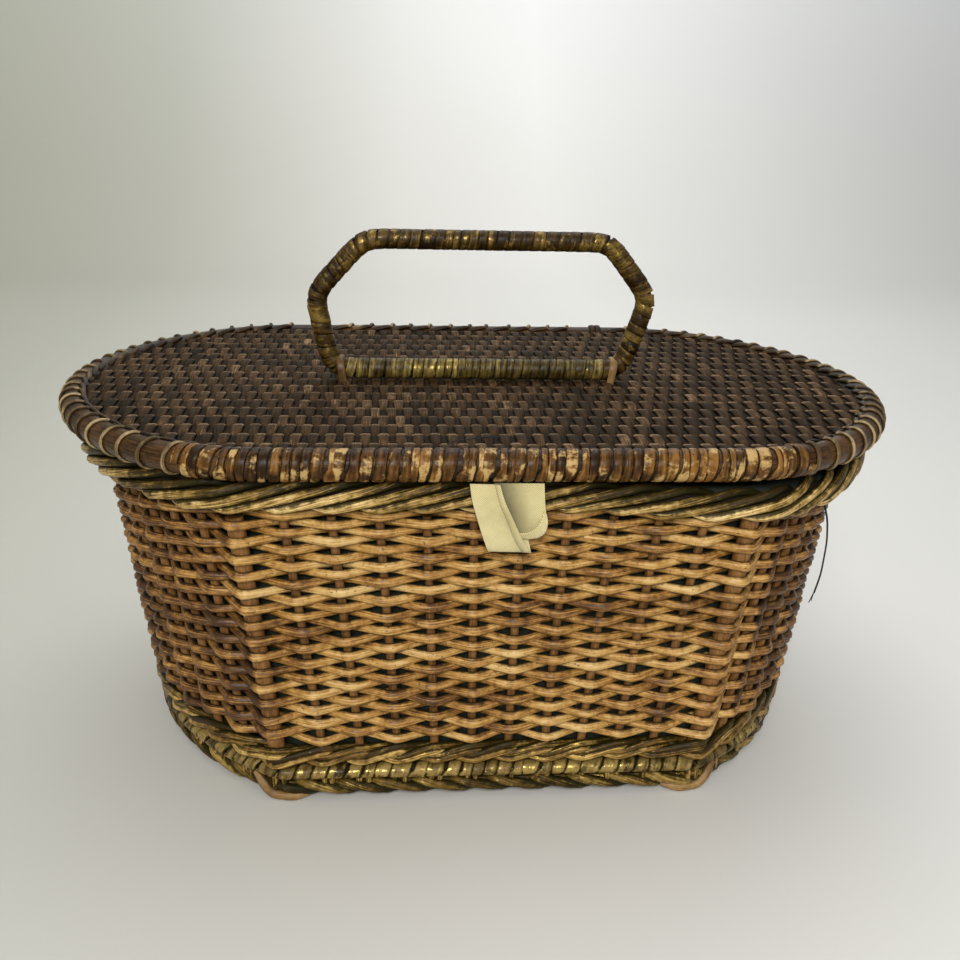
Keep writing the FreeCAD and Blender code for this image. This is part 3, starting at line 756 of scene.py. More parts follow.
def bottom_wale():
    """Three rods that pass in front of two stakes and behind the third, so that they look like a rope."""
    z = cad_heights("bottom_wale")[0]
    canes = Canes()
    for rod in range(3):
        phase = (np.arange(WARPS) + rod) % 3
        side = np.where(phase == 0, -0.8, 1.0)
        for half in (-1, 1):
            reach = side * (warp_radius + WALE_ROD_RADIUS) + random.normal(0, ROD_WANDER_OUT, WARPS)
            rise = np.choose(phase, (0.0, -WALE_RISE, WALE_RISE)) + half * WALE_ROD_RADIUS * 0.85
            rise = rise + random.normal(0, 0.15, WARPS)
            tone = spliced_tones(0.42 - 0.2 * half, 0.15)
            woven_round(z, reach, rise, WALE_ROD_RADIUS, tone, canes, kink=0.6, bulge=1.0)
    canes.build("bottom_wale_rods", "basket", wale_reed, "bottom_wale")


# ---- Base ----

def base_hoop():
    """Thick hoop wound with slanting strips."""
    low, high = cad_box("base_hoop")
    hoop = footprint("base_hoop", 3.4)
    z = low[2] + (high[2] - low[2]) * 0.62
    core("hoop_core", "basket", *hoop.level(hoop.evenly(240), z), round_section(2.0, flatten=0.9), 0.3)
    canes = Canes()
    winding(canes, lambda place: hoop.level(place, z), 0, hoop.length, HOOP_PITCH, HOOP_RADII,
            unevenness=0.18, steps=14)
    canes.build("hoop_winding", "basket", hoop_paint, "base_hoop")


def stake_stubs():
    """Pairs of bottom stakes seen between the foot border and the hoop."""
    points, out = warps_at(cad_box("base_hoop")[0][2])
    canes = Canes()
    for point, outward in zip(points, out):
        side = np.cross(UP, outward)
        for shift in (-1.35, 1.35):
            foot = point + outward * 1.6 + side * (shift + random.normal(0, 0.2))
            path = [foot + UP * rise for rise in (-2.6, 0.2, 1.8, 3.4)]
            canes.add(path, outward, round_section(1.15), tone=random.uniform(0.15, 0.45))
    canes.build("stake_stubs", "basket", gilded)


def foot_border():
    """Plait of the stakes' lower ends, slanting down to the right."""
    ring = footprint("foot_border", 2.0)
    z = cad_heights("foot_border")[0] + 0.55
    canes = Canes()
    plait(canes, ring, z, (1.7, 1.75), WARPS, round_section(FOOT_STRAND_RADIUS), FOOT_SPAN, 0.36, lean=-1,
          steps=22, darker=0.2)
    middle, out = ring.level(ring.evenly(240), z + 0.3)
    canes.add(middle - out * 0.4, out, round_section(1.3), closed=True, tone=0.2)
    canes.build("foot_plait", "basket", painted, "foot_border")


def corner_hooks():
    """Rod ends bent round under each corner, on which the basket stands."""
    ring = footprint("foot_border", 2.0)
    corner = cad_box("corner_feet")[1] - 4.0
    share = np.linspace(-1, 1, 31)
    canes = Canes()
    for sx, sy in ((-1, -1), (1, -1), (1, 1), (-1, 1)):
        nearest = np.argmin(np.linalg.norm(ring.points - [sx * corner[0], sy * corner[1]], axis=1))
        middle_distance = nearest * ring.length / len(ring.points)
        to_face = share * sx * sy
        lift = 6.5 * smoothstep(-to_face * 1.3 - 0.3) + 1.6 * smoothstep(to_face * 1.5 - 0.3)
        middle, out = ring.level(middle_distance + HOOK_REACH * share, HOOK_RADIUS + lift)
        outward = 1.5 + 1.9 * smoothstep(-to_face * 1.6) - 1.6 * smoothstep(to_face * 1.3 - 0.2)
        path = middle + out * outward[:, None]
        canes.add(path, out, round_section(HOOK_RADIUS, 10), scale=tapered(31, 0.2, 0.2, 0.4), tone=0.45)
    canes.build("corner_hooks", "basket", hook_reed, "corner_feet")


# ---- Top border, lining and hinge ----
def border_sag(points):
    """How far the border has sunk away from the lid: most at the right of the front."""
    x, y = points[:, 0], points[:, 1]
    return BORDER_SAG * smoothstep((x - 15) / 60) * smoothstep((145 - x) / 40) * smoothstep((10 - y) / 70)


def top_border():
    z, half_height = cad_heights("top_border")
    half_width = BORDER_WIDTH / 2
    ring = footprint("top_border", half_width)
    radius = BORDER_STRAND_RADIUS
    canes = Canes()
    plait(canes, ring, z, (half_width - radius, half_height - radius * 0.9), WARPS,
          round_section(radius), BORDER_SPAN, 0.3, sag=border_sag, darker=0.45)
    canes.build("top_plait", "basket", gilded, "top_border")
    middle, out = ring.level(ring.evenly(260), z)
    middle[:, 2] -= border_sag(middle)
    oval = round_section(1.0, 12) * [half_height - radius * 1.8, half_width - radius * 1.8]
    core("top_plait_core", "basket", middle, out, oval, 0.3)


def lattice(name, points, body, material, *nodes):
    """Closed tube-like sheet through a grid of points that wraps both ways."""
    rows, columns = points.shape[:2]
    quads = tube_quads(rows, columns, closed=True)[:, [0, 3, 2, 1]]
    steps = [np.linalg.norm(beside - points[0, 0]) for beside in (points[1, 0], points[0, 1])]
    corners = [(0, 0), (1, 0), (1, 1), (0, 1)]
    uv = (np.indices((rows, columns)).reshape(2, -1).T[:, None] + corners) * steps
    finish_piece(new_mesh(name, points.reshape(-1, 3), quads.tolist(), uv), name, body, material, *nodes)


def lining_profile():
    """Share of the height, depth inside the wall and share of the way out to the border, going over it."""
    levels = np.linspace(0, 0.93, 14)
    outer = [(t, 0.0, 0.0) for t in levels] + [(0.95, 0.0, 0.35), (0.96, 0.0, 0.75), (0.965, 0.0, 1.0)]
    hem = [(0.975, 0.0, 1.06), (0.985, 0.0, 1.0)]
    inner = [(0.99, 0.2, 0.75), (0.985, 0.5, 0.4), (0.965, 0.8, 0.12)] + [(t, 1.0, 0.0) for t in levels[::-1]]
    return outer + hem + inner


def side_lining():
    """Green cloth inside the wall, in soft upright folds, its upper edge turned out to the border."""
    points = cad_points("side_lining")
    low, high = points[:, 2].min(), points[:, 2].max()
    lower = Loop(points[points[:, 2] < low + 1][:, :2], inset=0.3)
    upper = Loop(points[points[:, 2] > high - 1][:, :2], inset=0.3)
    turn = np.arange(LINING_COLUMNS) / LINING_COLUMNS * 2 * np.pi
    folds = np.abs(drift(LINING_COLUMNS, 5, 1.0))
    folds += 0.35 * (1 + np.cos(turn * LINING_FOLDS + drift(LINING_COLUMNS, 20, 1.5)))
    border = footprint("top_border", BORDER_WIDTH - LINING_IN_BORDER)
    edge = border.at(border.evenly(LINING_COLUMNS))[0]
    a, na = lower.level(lower.evenly(LINING_COLUMNS), 0)
    b, nb = upper.level(upper.evenly(LINING_COLUMNS), 0)
    columns = []
    for t, depth, flare in lining_profile():
        out = unit(na * (1 - t) + nb * t)
        gather = folds * (0.35 + 0.65 * t) * (1.0 if depth >= 1 else 0.8)
        point = a * (1 - t) + b * t - out * (depth + gather)[:, None]
        point[:, :2] = point[:, :2] * (1 - flare) + edge * flare
        point[:, 2] = low + (high - low) * t - border_sag(point) * flare
        columns.append(point)
    lattice("side_lining_cloth", np.stack(columns, 1), "basket", sateen, "side_lining")


def disc(outline, tops, bottoms):
    """Closed disc-shaped sheet. tops and bottoms are (share of the outline, height) from rim to middle."""
    around = len(outline)
    middle = outline.mean(0)
    rings = []
    for share, height in tops[::-1] + bottoms:
        ring = middle + (outline - middle) * np.reshape(share, (-1, 1))
        rings.append(np.column_stack([ring, np.broadcast_to(height, around)]))
    poles = [[*middle, ring[:, 2].mean()] for ring in (rings[0], rings[-1])]
    points = np.vstack(rings + [poles])
    faces = tube_quads(len(rings), around)[:, [0, 3, 2, 1]].tolist()
    top, bottom = len(points) - 2, len(points) - 1
    last = (len(rings) - 1) * around
    for k in range(around):
        n = (k + 1) % around
        faces += [(top, k, n), (bottom, last + n, last + k)]
    return points, faces


def disc_mesh(name, points, faces):
    return new_mesh(name, points, faces, points[np.concatenate(faces), :2])


def hinge_loops():
    """Cane rings at the back in which the rim rod turns, each with a strap down the border."""
    axis_y, axis_z = cad_box("lid_rim")[1][1] - 4.5, cad_heights("lid_rim")[0]
    border_back = cad_box("top_border")[1][1]
    angle = np.radians(np.linspace(-70, 255, 30))
    drop = np.linspace(0, 1, 10)
    canes = Canes()
    for side in (-1, 1):
        for shift in (-1.25, 1.25):
            x = side * HINGE_X + shift
            up = np.stack([np.zeros(30), np.cos(angle), np.sin(angle)], 1)
            canes.add(up * HINGE_LOOP_RADIUS + [x, axis_y, axis_z], up, flat_section(STRAP_WIDTH, 0.8),
                      tone=random.uniform(0.3, 0.8))
            strap_y = border_back + 0.75 + 0.3 * np.sin(drop * 3.1)
            strap = np.stack([np.full(10, x), strap_y, axis_z - 3.6 - STRAP_LENGTH * drop], 1)
            canes.add(strap, (0, 1, 0), flat_section(STRAP_WIDTH, 0.9), scale=tapered(10, 0, 0.1, 0.6),
                      tone=random.uniform(0.3, 0.8))
    canes.build("hinge_straps", "basket", pale_loop, "hinge_loops")


# ---- Lid ----

HINGE_X = cad_box("hinge_loops")[1][0] - 2.5
rim_z, rim_radius = cad_heights("lid_rim")
rim = footprint("lid_rim", rim_radius)


def woven_panel(strips, slats, panel, z, pitch, rows, width, thickness, lift, samples=7):
    """Narrow strips woven front to back over and under wide slats that run left to right."""
    half_depth = panel.points[:, 1].max()
    row_pitch = 2 * half_depth / rows
    reach = int((panel.points[:, 0].max() - 2.0) / pitch)
    section = strip_section(width, thickness)
    for i in range(-reach, reach + 1):
        x = i * pitch + random.normal(0, 0.06)
        half = panel.half_span(abs(x), 0)
        count = max(int(2 * half / row_pitch * samples), 6)
        y = np.linspace(-half, half, count)
        row_place = (y + half_depth) / row_pitch
        wave = np.sin(np.pi * row_place) * (1 if i % 2 == 0 else -1)
        shape = np.sign(wave) * np.abs(wave) ** 0.6
        over = smoothstep(shape * 1.5)
        far = (row_place % 1) * over
        sway = drift(count, 9, 0.1)
        rise = lift * (shape + 0.2 * far) + drift(count, 6, 0.1)
        path = np.stack([x + sway, y, z + rise], 1)
        hump = np.floor(row_place).astype(int).clip(0, rows)
        tone = random.normal(0.40, 0.06) + random.normal(0, 0.09, rows + 1)[hump]
        # Painted highlight: the far edge of each raised hump is paler, where light would catch it.
        tone = tone + 0.7 * smoothstep((far - 0.60) / 0.22)
        strips.add(path, UP, section, scale=widened(0.78 + 0.16 * over + 0.14 * far), tone=tone)
    for row in range(rows):
        y = -half_depth + (row + 0.5) * row_pitch
        inner = abs(y) + row_pitch * 0.35
        half = panel.half_span(inner if inner < half_depth else abs(y), 1)
        count = int(half / pitch * 4)
        x = np.linspace(-half, half, count)
        sway = np.cos(np.pi * x / pitch) * (-1 if row % 2 == 0 else 1)
        path = np.stack([x, y + drift(count, 30, 0.12), z + 0.2 * sway], 1)
        slats.add(path, UP, flat_section(row_pitch - 1.0, 0.8), tone=random.uniform(0.2, 0.8))


def lid_panel():
    panel = Loop(rim.points, inset=rim_radius - 0.9)
    strips, slats = Canes(), Canes()
    woven_panel(strips, slats, panel, cad_heights("lid_slats")[0], LID_STRIP_PITCH, LID_ROWS,
                LID_STRIP_WIDTH, 1.0, 0.98)
    strips.build("lid_strips_woven", "lid", lid_weave, "lid_strips")
    slats.build("lid_slats_woven", "lid", lid_slat, "lid_slats")


def base_panel():
    panel = footprint("base_panel", 0.2)
    strips, slats = Canes(), Canes()
    woven_panel(strips, slats, panel, cad_heights("base_panel")[0], BASE_STRIP_PITCH, BASE_ROWS,
                BASE_STRIP_WIDTH, 1.2, 1.1, samples=4)
    strips.build("base_strips_woven", "basket", base_weave, "base_panel")
    slats.build("base_slats_woven", "basket", base_weave)


def lid_rim():
    """Rim rod, its close binding along the straight front and the spaced loops round the rest."""
    rod = Canes()
    middle, out = rim.level(rim.evenly(300), rim_z + drift(300, 40, 0.1))
    rod.add(middle, out, round_section(rim_radius - 0.05, 16), closed=True, scale=1 + drift(300, 12, 0.006),
            tone=0.45 + drift(300, 10, 0.15))
    rod.build("rim_rod", "lid", rim_rod, "lid_rim")
    bound_half = cad_box("rim_binding")[1][0] + BINDING_PAST_CORNER
    radius = rim_radius + 0.2
    binding = Canes()
    winding(binding, lambda place: rim.level(place, rim_z), -bound_half, bound_half, RIM_PITCH,
            (radius, radius), unevenness=0.24, steps=16, thickness=0.85)
    binding.build("rim_binding_cane", "lid", rim_wrap, "rim_binding")
    loops = Canes()
    free = rim.length - 2 * bound_half - 2 * LOOP_END_GAP
    count = int(free / RIM_LOOP_SPACING)
    for i in range(count):
        place = bound_half + LOOP_END_GAP + free * i / (count - 1)
        x, y = rim.at(place)[0]
        if y < 0 or abs(abs(x) - HINGE_X) > HINGE_ROOM:
            rim_loop(loops, place + random.normal(0, 0.4))
    loops.build("rim_loops_cane", "lid", pale_loop, "rim_loops")


def rim_loop(loops, place):
    """Thin cane round the rim rod, its end drawn along the rim's inner side into the weave."""
    angle = np.radians(np.linspace(-165, 118, 22))
    share = np.linspace(0, 1, 9)[1:]
    angles = np.concatenate([angle, np.radians(118 + 22 * share)])[:, None]
    places = np.concatenate([place - 1.3 * np.cos(angle + 0.4), place + 0.9 + 8.5 * share])
    lifts = np.concatenate([np.full(22, 0.3), 0.45 + 0.5 * np.sin(np.pi * share) - 0.6 * share])
    centre, out = rim.level(places, rim_z)
    up = out * np.cos(angles) + UP * np.sin(angles)
    width = np.concatenate([np.full(22, 1.0), 1.0 + 0.5 * np.sin(np.pi * share)])
    tone = np.concatenate([np.full(22, random.uniform(0.35, 0.85)), np.full(8, 0.2)])
    loops.add(centre + up * (rim_radius + lifts)[:, None], up, flat_section(1.35, 0.9),
              scale=widened(width), tone=tone)


def lid_lining():
    """Green cloth drawn over the underside of the lid, puckered round its edge."""
    low, high = cad_box("lid_lining")
    edge = footprint("lid_lining")
    around = 360
    pucker = drift(around, 3, 1.0)
    tops = [(s, high[2] - 0.05) for s in (1.0, 0.8, 0.5, 0.2)]
    bottoms = []
    for s in (1.0, 0.985, 0.95, 0.9, 0.84, 0.76, 0.66, 0.54, 0.4, 0.25, 0.1):
        rim_roll = 0.55 * smoothstep((s - 0.9) / 0.08) * (s < 1)
        ripple = 0.55 * np.abs(pucker) * smoothstep((s - 0.45) / 0.5) * (s < 1)
        bottoms.append((s, low[2] + (0.5 if s == 1.0 else 0.25) - rim_roll - ripple + 0.25 * (1 - s)))
    points, faces = disc(edge.at(edge.evenly(around))[0], tops, bottoms)
    name = "lid_lining_cloth"
    finish_piece(disc_mesh(name, points, faces), name, "lid", sateen, "lid_lining")


def base_pad():
    """Thin cushion in the bottom, puffed up by a cloth simulation."""
    name = "base_pad_cushion"
    middle_z, half = cad_heights("base_pad")
    edge = footprint("base_pad", 1.5)
    shares = np.array([1.0, 0.97, 0.9, 0.8, 0.68, 0.54, 0.4, 0.25, 0.1])
    rise = half * np.sqrt(np.clip(1 - shares ** 14, 0, 1))
    tops = list(zip(shares, middle_z + rise))
    bottoms = list(zip(shares[1:], middle_z - rise[1:]))
    points, faces = disc(edge.at(edge.evenly(160))[0], tops, bottoms)
    piece = new_object("pad_start", disc_mesh(name, points, faces))
    puff(piece, pressure=2.5, limit=2.2, floor=middle_z - half)
    mesh = bpy.data.meshes.new_from_object(piece)
    bpy.data.objects.remove(piece)
    mesh.name = name
    if not mesh.uv_layers:
        mesh.uv_layers.new(name="UVMap")
    flat = np.array([mesh.vertices[loop.vertex_index].co[:2] for loop in mesh.loops], np.float32) / MM
    mesh.uv_layers[0].data.foreach_set("uv", flat.ravel())
    finish_piece(mesh, name, "basket", sateen, "base_pad")


def tack_down(piece, rest):
    """Pins the cushion at tacks in staggered rows, and returns the group's name."""
    pinned = piece.vertex_groups.new(name="tacks")
    spots = np.array([(x + y % 2 / 2, y) for x in range(-3, 4) for y in range(-2, 3)]) * TACK_SPACING * MM
    near = np.linalg.norm(rest[:, None, :2] - spots, axis=2).min(1) < TACK_REACH * MM
    pinned.add(np.flatnonzero(near).tolist(), 1.0, "REPLACE")
    return pinned.name


def blown_up(piece, pressure, pins):
    """Where a cloth simulation has moved the piece's points after a moment."""
    solver = piece.modifiers.new("Cloth", "CLOTH")
    solver.settings.use_pressure = True
    solver.settings.uniform_pressure_force = pressure
    solver.settings.effector_weights.gravity = 0
    solver.settings.vertex_group_mass = pins
    solver.settings.quality = 4
    scene = bpy.context.scene
    for step in range(1, 13):
        scene.frame_set(step)
    bpy.context.view_layer.update()
    moved = bpy.data.meshes.new_from_object(piece.evaluated_get(bpy.context.evaluated_depsgraph_get()))
    points = np.array([v.co for v in moved.vertices])
    bpy.data.meshes.remove(moved)
    piece.modifiers.clear()
    scene.frame_set(1)
    return points


def puff(piece, pressure, limit, floor):
    """Puffs a closed mesh up as cloth, moves no point further than limit and leaves a plain mesh."""
    bpy.context.view_layer.objects.active = piece
    piece.select_set(True)
    remesh = piece.modifiers.new("Remesh", "REMESH")
    remesh.mode = "VOXEL"
    remesh.voxel_size = PAD_VOXEL * MM
    bpy.ops.object.modifier_apply(modifier=remesh.name)
    rest = np.array([v.co for v in piece.data.vertices])
    shift = blown_up(piece, pressure, tack_down(piece, rest)) - rest
    length = np.linalg.norm(shift, axis=1, keepdims=True)
    result = rest + shift * np.minimum(1, limit * MM / np.maximum(length, 1e-9))
    result[:, 2] = np.maximum(result[:, 2], floor * MM)
    piece.data.vertices.foreach_set("co", result.astype(np.float32).ravel())
    finer = piece.modifiers.new("Finer", "SUBSURF")
    finer.levels = 1
    bpy.ops.object.modifier_apply(modifier=finer.name)


# ---- Handle ----

core_low, core_high = cad_box("handle_core")
handle_y, bail_radius = (core_low[1] + core_high[1]) / 2, (core_high[1] - core_low[1]) / 2
bail = Loop(cad_points("handle_core")[:, [0, 2]], bail_radius, HANDLE_ROUNDING)
bail_low = bail.points[:, 1].min()


def bail_line(distance):
    """Points on the bail, whose grip has been pulled a little to the right, and the outward directions.

    It is walked from the middle of its bottom bar.
    """
    point, out = bail.at(distance)
    x = point[:, 0] + HANDLE_LEAN * (point[:, 1] - bail_low)
    middle = np.stack([x, np.full(len(x), handle_y), point[:, 1]], 1)
    return middle, np.stack([out[:, 0], np.zeros(len(x)), out[:, 1]], 1)


def handle_wrapping():
    """Close winding round the whole bail: finer on the bottom bar, wider on the sides and the grip."""
    bar_half = cad_box("bar_wrap")[1][0]
    outer, thick = bail_radius + 0.7, bail_radius + 1.0
    bar = Canes()
    winding(bar, bail_line, -bar_half, bar_half, BAR_PITCH, (thick, thick), 0.22, tones=0.1,
            shoulder=0.6, overlap=0.97, across=FRONT)
    bar.build("bar_winding", "handle", bar_bronze, "bar_wrap")
    core("bail_core", "handle", *bail_line(bail.evenly(200)), round_section(bail_radius + 0.3), 0.4,
         "handle_core")
    grip_end = bar_half + 0.4
    around = Canes()
    winding(around, bail_line, grip_end, bail.length - grip_end, GRIP_PITCH, (outer, outer), 0.16,
            tones=0.12, shoulder=0.7, overlap=1.0, across=FRONT)
    around.build("grip_winding", "handle", bronze, "grip_wrap", "side_wraps")


def handle_loops():
    """Flat cane straps over the bottom bar, their ends pushed down into the lid."""
    low, high = cad_box("handle_loops")
    bar_z = cad_box("bar_wrap")[0][2] + 3.5
    strap_x = (high[0] - low[0]) / 2 - 1.5
    angle = np.radians(np.linspace(-8, 188, 18))
    arch = np.stack([np.zeros(18), -4.6 * np.cos(angle), bar_z + 4.5 * np.sin(angle)], 1)
    front = np.array([[0, -4.7, low[2] - 1.9], [0, -4.7, low[2]]])
    canes = Canes()
    for side in (-1, 1):
        path = np.vstack([front, arch, front[::-1] * [1, -1, 1]])
        lean = 1.3 * (path[:, 2] - low[2]) / (high[2] - low[2])
        path[:, 0] = side * (strap_x - 0.6 + lean)
        up = (path - [0, 0, bar_z]) * [0, 1, 1]
        path[:, 1] += handle_y
        canes.add(path, up, flat_section(3.1, 0.95), scale=1 + drift(len(path), 5, 0.05),
                  tone=0.55 + 0.2 * side)
    canes.build("handle_straps", "lid", strap_cane, "handle_loops")


# ---- Tape tab and threads ----

def through(values, steps):
    """Smooth curve through rows of values, with this many steps between them."""
    padded = np.vstack([2 * values[0] - values[1], values, 2 * values[-1] - values[-2]])
    a, b, c, d = (padded[k:k + len(values) - 1, None] for k in range(4))
    t = (np.arange(steps) / steps)[None, :, None]
    curve = 0.5 * (2 * b + (c - a) * t + (2 * a - 5 * b + 4 * c - d) * t ** 2
                   + (3 * b - a - 3 * c + d) * t ** 3)
    return np.vstack([curve.reshape(-1, values.shape[1]), values[-1:]])


def ribbon(canes, origin, sections, thickness, tones):
    """Tape through sections, tones being those of its left and right edges.

    Each section is its left edge, its right edge and its outward direction. Edges are measured from the
    origin: x to the right, z down, then out to the front.
    """
    rows = through(np.array(sections, float), TAPE_STEPS)
    left, right = (origin + rows[:, k:k + 3][:, [0, 2, 1]] * [1, -1, -1] for k in (0, 3))
    width = np.linalg.norm(right - left, axis=1)
    across = unit(right - left)
    face = square_to(rows[:, 6:], across)
    x, y = TAPE_SECTION
    middle = (left + right) / 2
    count, sides = len(middle), len(x)
    wave = 0.10 * np.sin(np.arange(count) * 0.7)[:, None] * np.cos(x * 9)[None, :]
    points = (middle[:, None] + across[:, None] * (width[:, None] * x)[..., None]
              + face[:, None] * (thickness * y + wave)[..., None])
    ends = end_quads(sides)
    quads = [tube_quads(count, sides), ends[:, ::-1], ends + (count - 1) * sides]
    if np.sum(np.cross(across, face) * np.gradient(middle, axis=0)) < 0:
        quads = [q[:, ::-1] for q in quads]
    quads = np.vstack(quads)
    corner = quads.ravel()
    uv = np.stack([walked(middle)[corner // sides], (width[:, None] * x).ravel()[corner]], 1)
    canes.take(points.reshape(-1, 3), quads, uv, np.tile(np.interp(x, (-0.5, 0.5), tones), count),
               np.ones(count * sides))


def tape_tab():
    """Loop of cream tape: its left leg, with a rolled edge, crosses the right, whose end curls up."""
    low, high = cad_box("tape_loop")
    origin = np.array([low[0], high[1], high[2] + 0.8])
    left_leg = [
        (0.2, 0.0, 1.2, 9.2, 0.0, 1.9, 0.12, -1, 0),
        (1.0, 5.0, 1.7, 10.6, 5.0, 2.9, 0.16, -1, 0),
        (2.4, 10.0, 2.1, 13.1, 10.2, 3.4, 0.12, -1, 0),
        (4.1, 15.5, 2.4, 15.6, 15.8, 3.4, 0.08, -1, 0),
        (5.4, 19.2, 2.3, 17.8, 19.6, 2.9, 0.05, -1, -0.1),
        (6.3, 21.3, 1.5, 19.1, 21.5, 2.0, 0, -0.2, -1),
        (7.2, 20.6, 0.5, 19.0, 20.2, 0.9, 0, 1, 0),
        (9.0, 17.0, 0.2, 18.0, 16.0, 0.3, 0, 1, 0),
    ]
    selvedge = [
        (7.6, 0.0, 2.2, 9.2, 0.0, 2.2, 0.3, -1, 0),
        (8.9, 5.1, 3.3, 10.8, 5.1, 3.1, 0.3, -1, 0),
        (11.2, 10.3, 3.8, 13.3, 10.4, 3.6, 0.3, -1, 0),
        (13.4, 15.8, 3.9, 15.9, 16.0, 3.6, 0.3, -1, 0),
        (15.4, 19.6, 3.4, 18.2, 20.0, 3.0, 0.2, -1, -0.2),
        (16.6, 21.3, 2.6, 19.4, 21.7, 2.2, 0.1, -1, -0.4),
    ]
    right_leg = [
        (7.6, 0.0, 0.5, 22.6, 0.0, 0.9, 0, -1, 0),
        (9.0, 6.0, 0.5, 23.0, 6.0, 1.3, 0, -1, 0),
        (10.8, 11.5, 0.5, 23.7, 11.5, 1.4, 0, -1, 0),
        (12.4, 14.6, 0.6, 23.4, 14.4, 1.0, 0, -1, 0),
        (14.2, 16.9, 0.9, 22.2, 16.8, 0.9, 0, -1, -0.4),
    ]
    lip = [
        (15.2, 15.7, 2.0, 14.9, 17.1, 1.2, 0, -1, 0.3),
        (17.8, 15.2, 2.5, 18.4, 17.5, 1.4, 0, -1, 0.2),
        (20.0, 14.0, 2.8, 21.4, 17.0, 1.5, 0.1, -1, 0.2),
        (21.4, 12.2, 2.7, 23.3, 15.4, 1.6, 0.3, -1, 0.1),
        (22.2, 10.4, 2.2, 24.0, 12.6, 1.6, 0.4, -1, 0),
        (22.6, 8.6, 1.7, 23.6, 9.6, 1.4, 0.4, -1, 0),
    ]
    canes = Canes()
    # Painted shade: the right leg is darkest along its left edge, under the left leg.
    for sections, thickness, tones in ((left_leg, 0.5, (0.55, 0.42)), (selvedge, 0.55, (0.25, 0.55)),
                                       (right_leg, 0.45, (0.0, 0.62)), (lip, 0.5, (0.6, 0.4))):
        ribbon(canes, origin, sections, thickness, tones)
    canes.build("tape_ribbon", "pull_tab", tape_cloth, "tape_loop")


def thread(canes, start, points, radius):
    """Loose thread through a few points, which are measured from start."""
    points = start + np.array(points, float)
    stops = np.arange(len(points))
    fine = np.linspace(0, stops[-1], len(points) * 8)
    path = np.stack([np.interp(fine, stops, column) for column in points.T], 1)
    spread_out = 4
    padded = np.vstack([path[:1]] * spread_out + [path] + [path[-1:]] * spread_out)
    canes.add(averaged(padded, spread_out), (0.31, 0.62, 0.72), round_section(radius, 6), tone=0.4)


def threads():
    """Black threads caught on the lid and hanging from the right end of the border."""
    low, high = cad_box("top_border")
    hung = np.array([high[0] - 31.0, low[1] + 32.5, low[2]])
    loose = Canes()
    thread(loose, hung, [(-0.4, 1, 1.5), (0.3, -0.5, -6), (2.0, -1, -12), (2.8, -1, -20),
                         (2.4, -0.5, -32), (0.9, 0, -40)], 0.33)
    for x, y in ((-0.8, -0.6), (0.6, 0.8)):
        thread(loose, hung, [(1.0, 0, -39), (x, y, -43)], 0.16)
    loose.build("loose_thread", "basket", black_thread)
    lid_front = np.array([0, cad_box("lid_rim")[0][1], cad_box("lid_strips")[1][2]])
    caught = Canes()
    thread(caught, lid_front, [(-16, 15, 0.1), (-13, 17, 0.6), (-7, 19, 0.9), (-2, 22, 0.5),
                               (1.5, 22, 0.2)], 0.18)
    thread(caught, lid_front, [(-42, 27, 0), (-40.6, 29, 0.9), (-39.4, 27.4, 0.3), (-41, 26.6, 0.7)], 0.22)
    caught.build("caught_thread", "lid", black_thread)


# ---- Assembly ----



wall_rods()
bottom_wale()
base_hoop()
stake_stubs()
foot_border()
corner_hooks()
top_border()
side_lining()
hinge_loops()
lid_panel()
base_panel()
lid_rim()
lid_lining()
base_pad()
handle_wrapping()
handle_loops()
tape_tab()
threads()
for cad_node in UPRIGHT_NODES:
    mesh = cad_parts[cad_node].data
    mesh.materials.clear()
    mesh.materials.append(post_wood if cad_node == "corner_posts" else stake_wood)


# ---- Stage, light and camera ----

def stage_material():
    """Plain pale paper, warmer on the table, with painted shade that dulls it towards the sides."""
    material, tree, surface = new_material("pale_table", "none")
    place = add(tree, "TexCoord").outputs["Object"]
    split = add(tree, "SeparateXYZ", {0: place})
    # Painted light and shade: the paper is brightest right of the middle and darker towards the sides.
    side = remap(tree, split.outputs[0], -0.75, 1.15)
    stops = [(0.0, (0.52, 0.53, 0.45)), (0.12, (0.60, 0.605, 0.55)), (0.34, (0.90, 0.895, 0.88)),
             (0.5, (1.0, 1.0, 1.0)), (1.0, (0.66, 0.665, 0.67))]
    shade = ramp(tree, side, stops)
    upright = remap(tree, split.outputs[2], 0.02, 0.6)
    paper = mix(tree, upright, (0.71, 0.70, 0.665), (0.90, 0.905, 0.905))
    cloud = mix(tree, noise(tree, place, 3.0, 4.0), (0.95, 0.95, 0.95), (1.0, 1.0, 1.0))
    colour = mix(tree, 1.0, mix(tree, 1.0, paper, shade, "MULTIPLY"), cloud, "MULTIPLY")
    connect(tree, surface, Base_Color=colour, Roughness=0.6, Specular_IOR_Level=0.2)
    return material


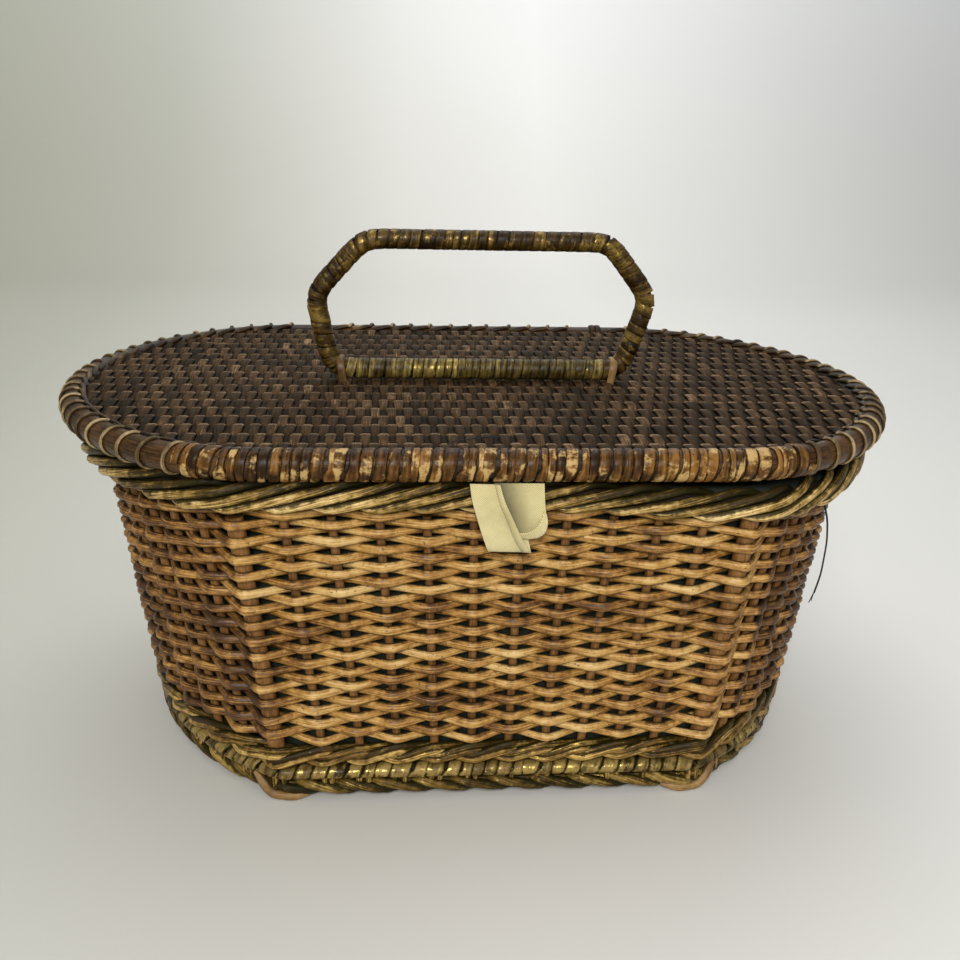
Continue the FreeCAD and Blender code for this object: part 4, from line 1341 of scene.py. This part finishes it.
def backdrop():
    """Pale floor that curves up into a wall behind the basket."""
    bend, wall_y, half_width, height = 0.5, 1.5, 3.0, 2.6
    profile = [(-2.5, 0.0), (-0.8, 0.0), (0.3, 0.0)]
    for step in range(13):
        angle = math.radians(7.5 * step)
        profile.append((wall_y - bend + bend * math.sin(angle), bend - bend * math.cos(angle)))
    profile.append((wall_y, height))
    points = [(x, y, z) for x in (-half_width, half_width) for y, z in profile]
    count = len(profile)
    faces = [(k, k + count, k + count + 1, k + 1) for k in range(count - 1)]
    mesh = bpy.data.meshes.new("backdrop")
    mesh.from_pydata(points, [], faces)
    mesh.shade_smooth()
    mesh.materials.append(stage_material())
    new_object("backdrop", mesh)


def area_light(name, place, target, size, power, colour=(1, 1, 1)):
    data = bpy.data.lights.new(name, "AREA")
    data.shape = "RECTANGLE"
    data.size, data.size_y = size
    data.energy = power
    data.color = colour
    light = new_object(name, data)
    light.location = place
    light.rotation_euler = (Vector(target) - Vector(place)).to_track_quat("-Z", "Y").to_euler()


def camera():
    yaw, dip, roll = map(math.radians, (CAMERA_YAW, CAMERA_DIP, CAMERA_ROLL))
    aim = Vector((math.sin(yaw) * math.cos(dip), math.cos(yaw) * math.cos(dip), -math.sin(dip)))
    data = bpy.data.cameras.new("camera")
    data.lens = CAMERA_LENS
    data.sensor_width = 36
    data.clip_start = 0.01
    made = new_object("camera", data)
    made.location = Vector(CAMERA_PLACE) * MM
    made.rotation_mode = "QUATERNION"
    made.rotation_quaternion = aim.to_track_quat("-Z", "Y") @ Quaternion((0, 0, 1), roll)
    bpy.context.scene.camera = made


backdrop()
area_light("window", (-0.2, -1.5, 1.0), (0, 0, 0.07), (0.6, 0.6), 26, (1.0, 0.985, 0.95))
area_light("overhead", (-0.1, 0.35, 1.35), (0, 0.0, 0.1), (1.6, 0.9), 6, (0.97, 0.99, 1.0))
area_light("backdrop_light", (0.1, 0.85, 1.5), (0.1, 1.5, 0.6), (1.6, 0.4), 11, (0.98, 0.99, 1.0))
world = bpy.data.worlds.new("soft_room")
world.use_nodes = True
sky = world.node_tree.nodes["Background"]
sky.inputs[0].default_value = (0.95, 0.97, 1.0, 1)
sky.inputs[1].default_value = 0.42
bpy.context.scene.world = world
bpy.context.scene.view_settings.view_transform = "Standard"
camera()
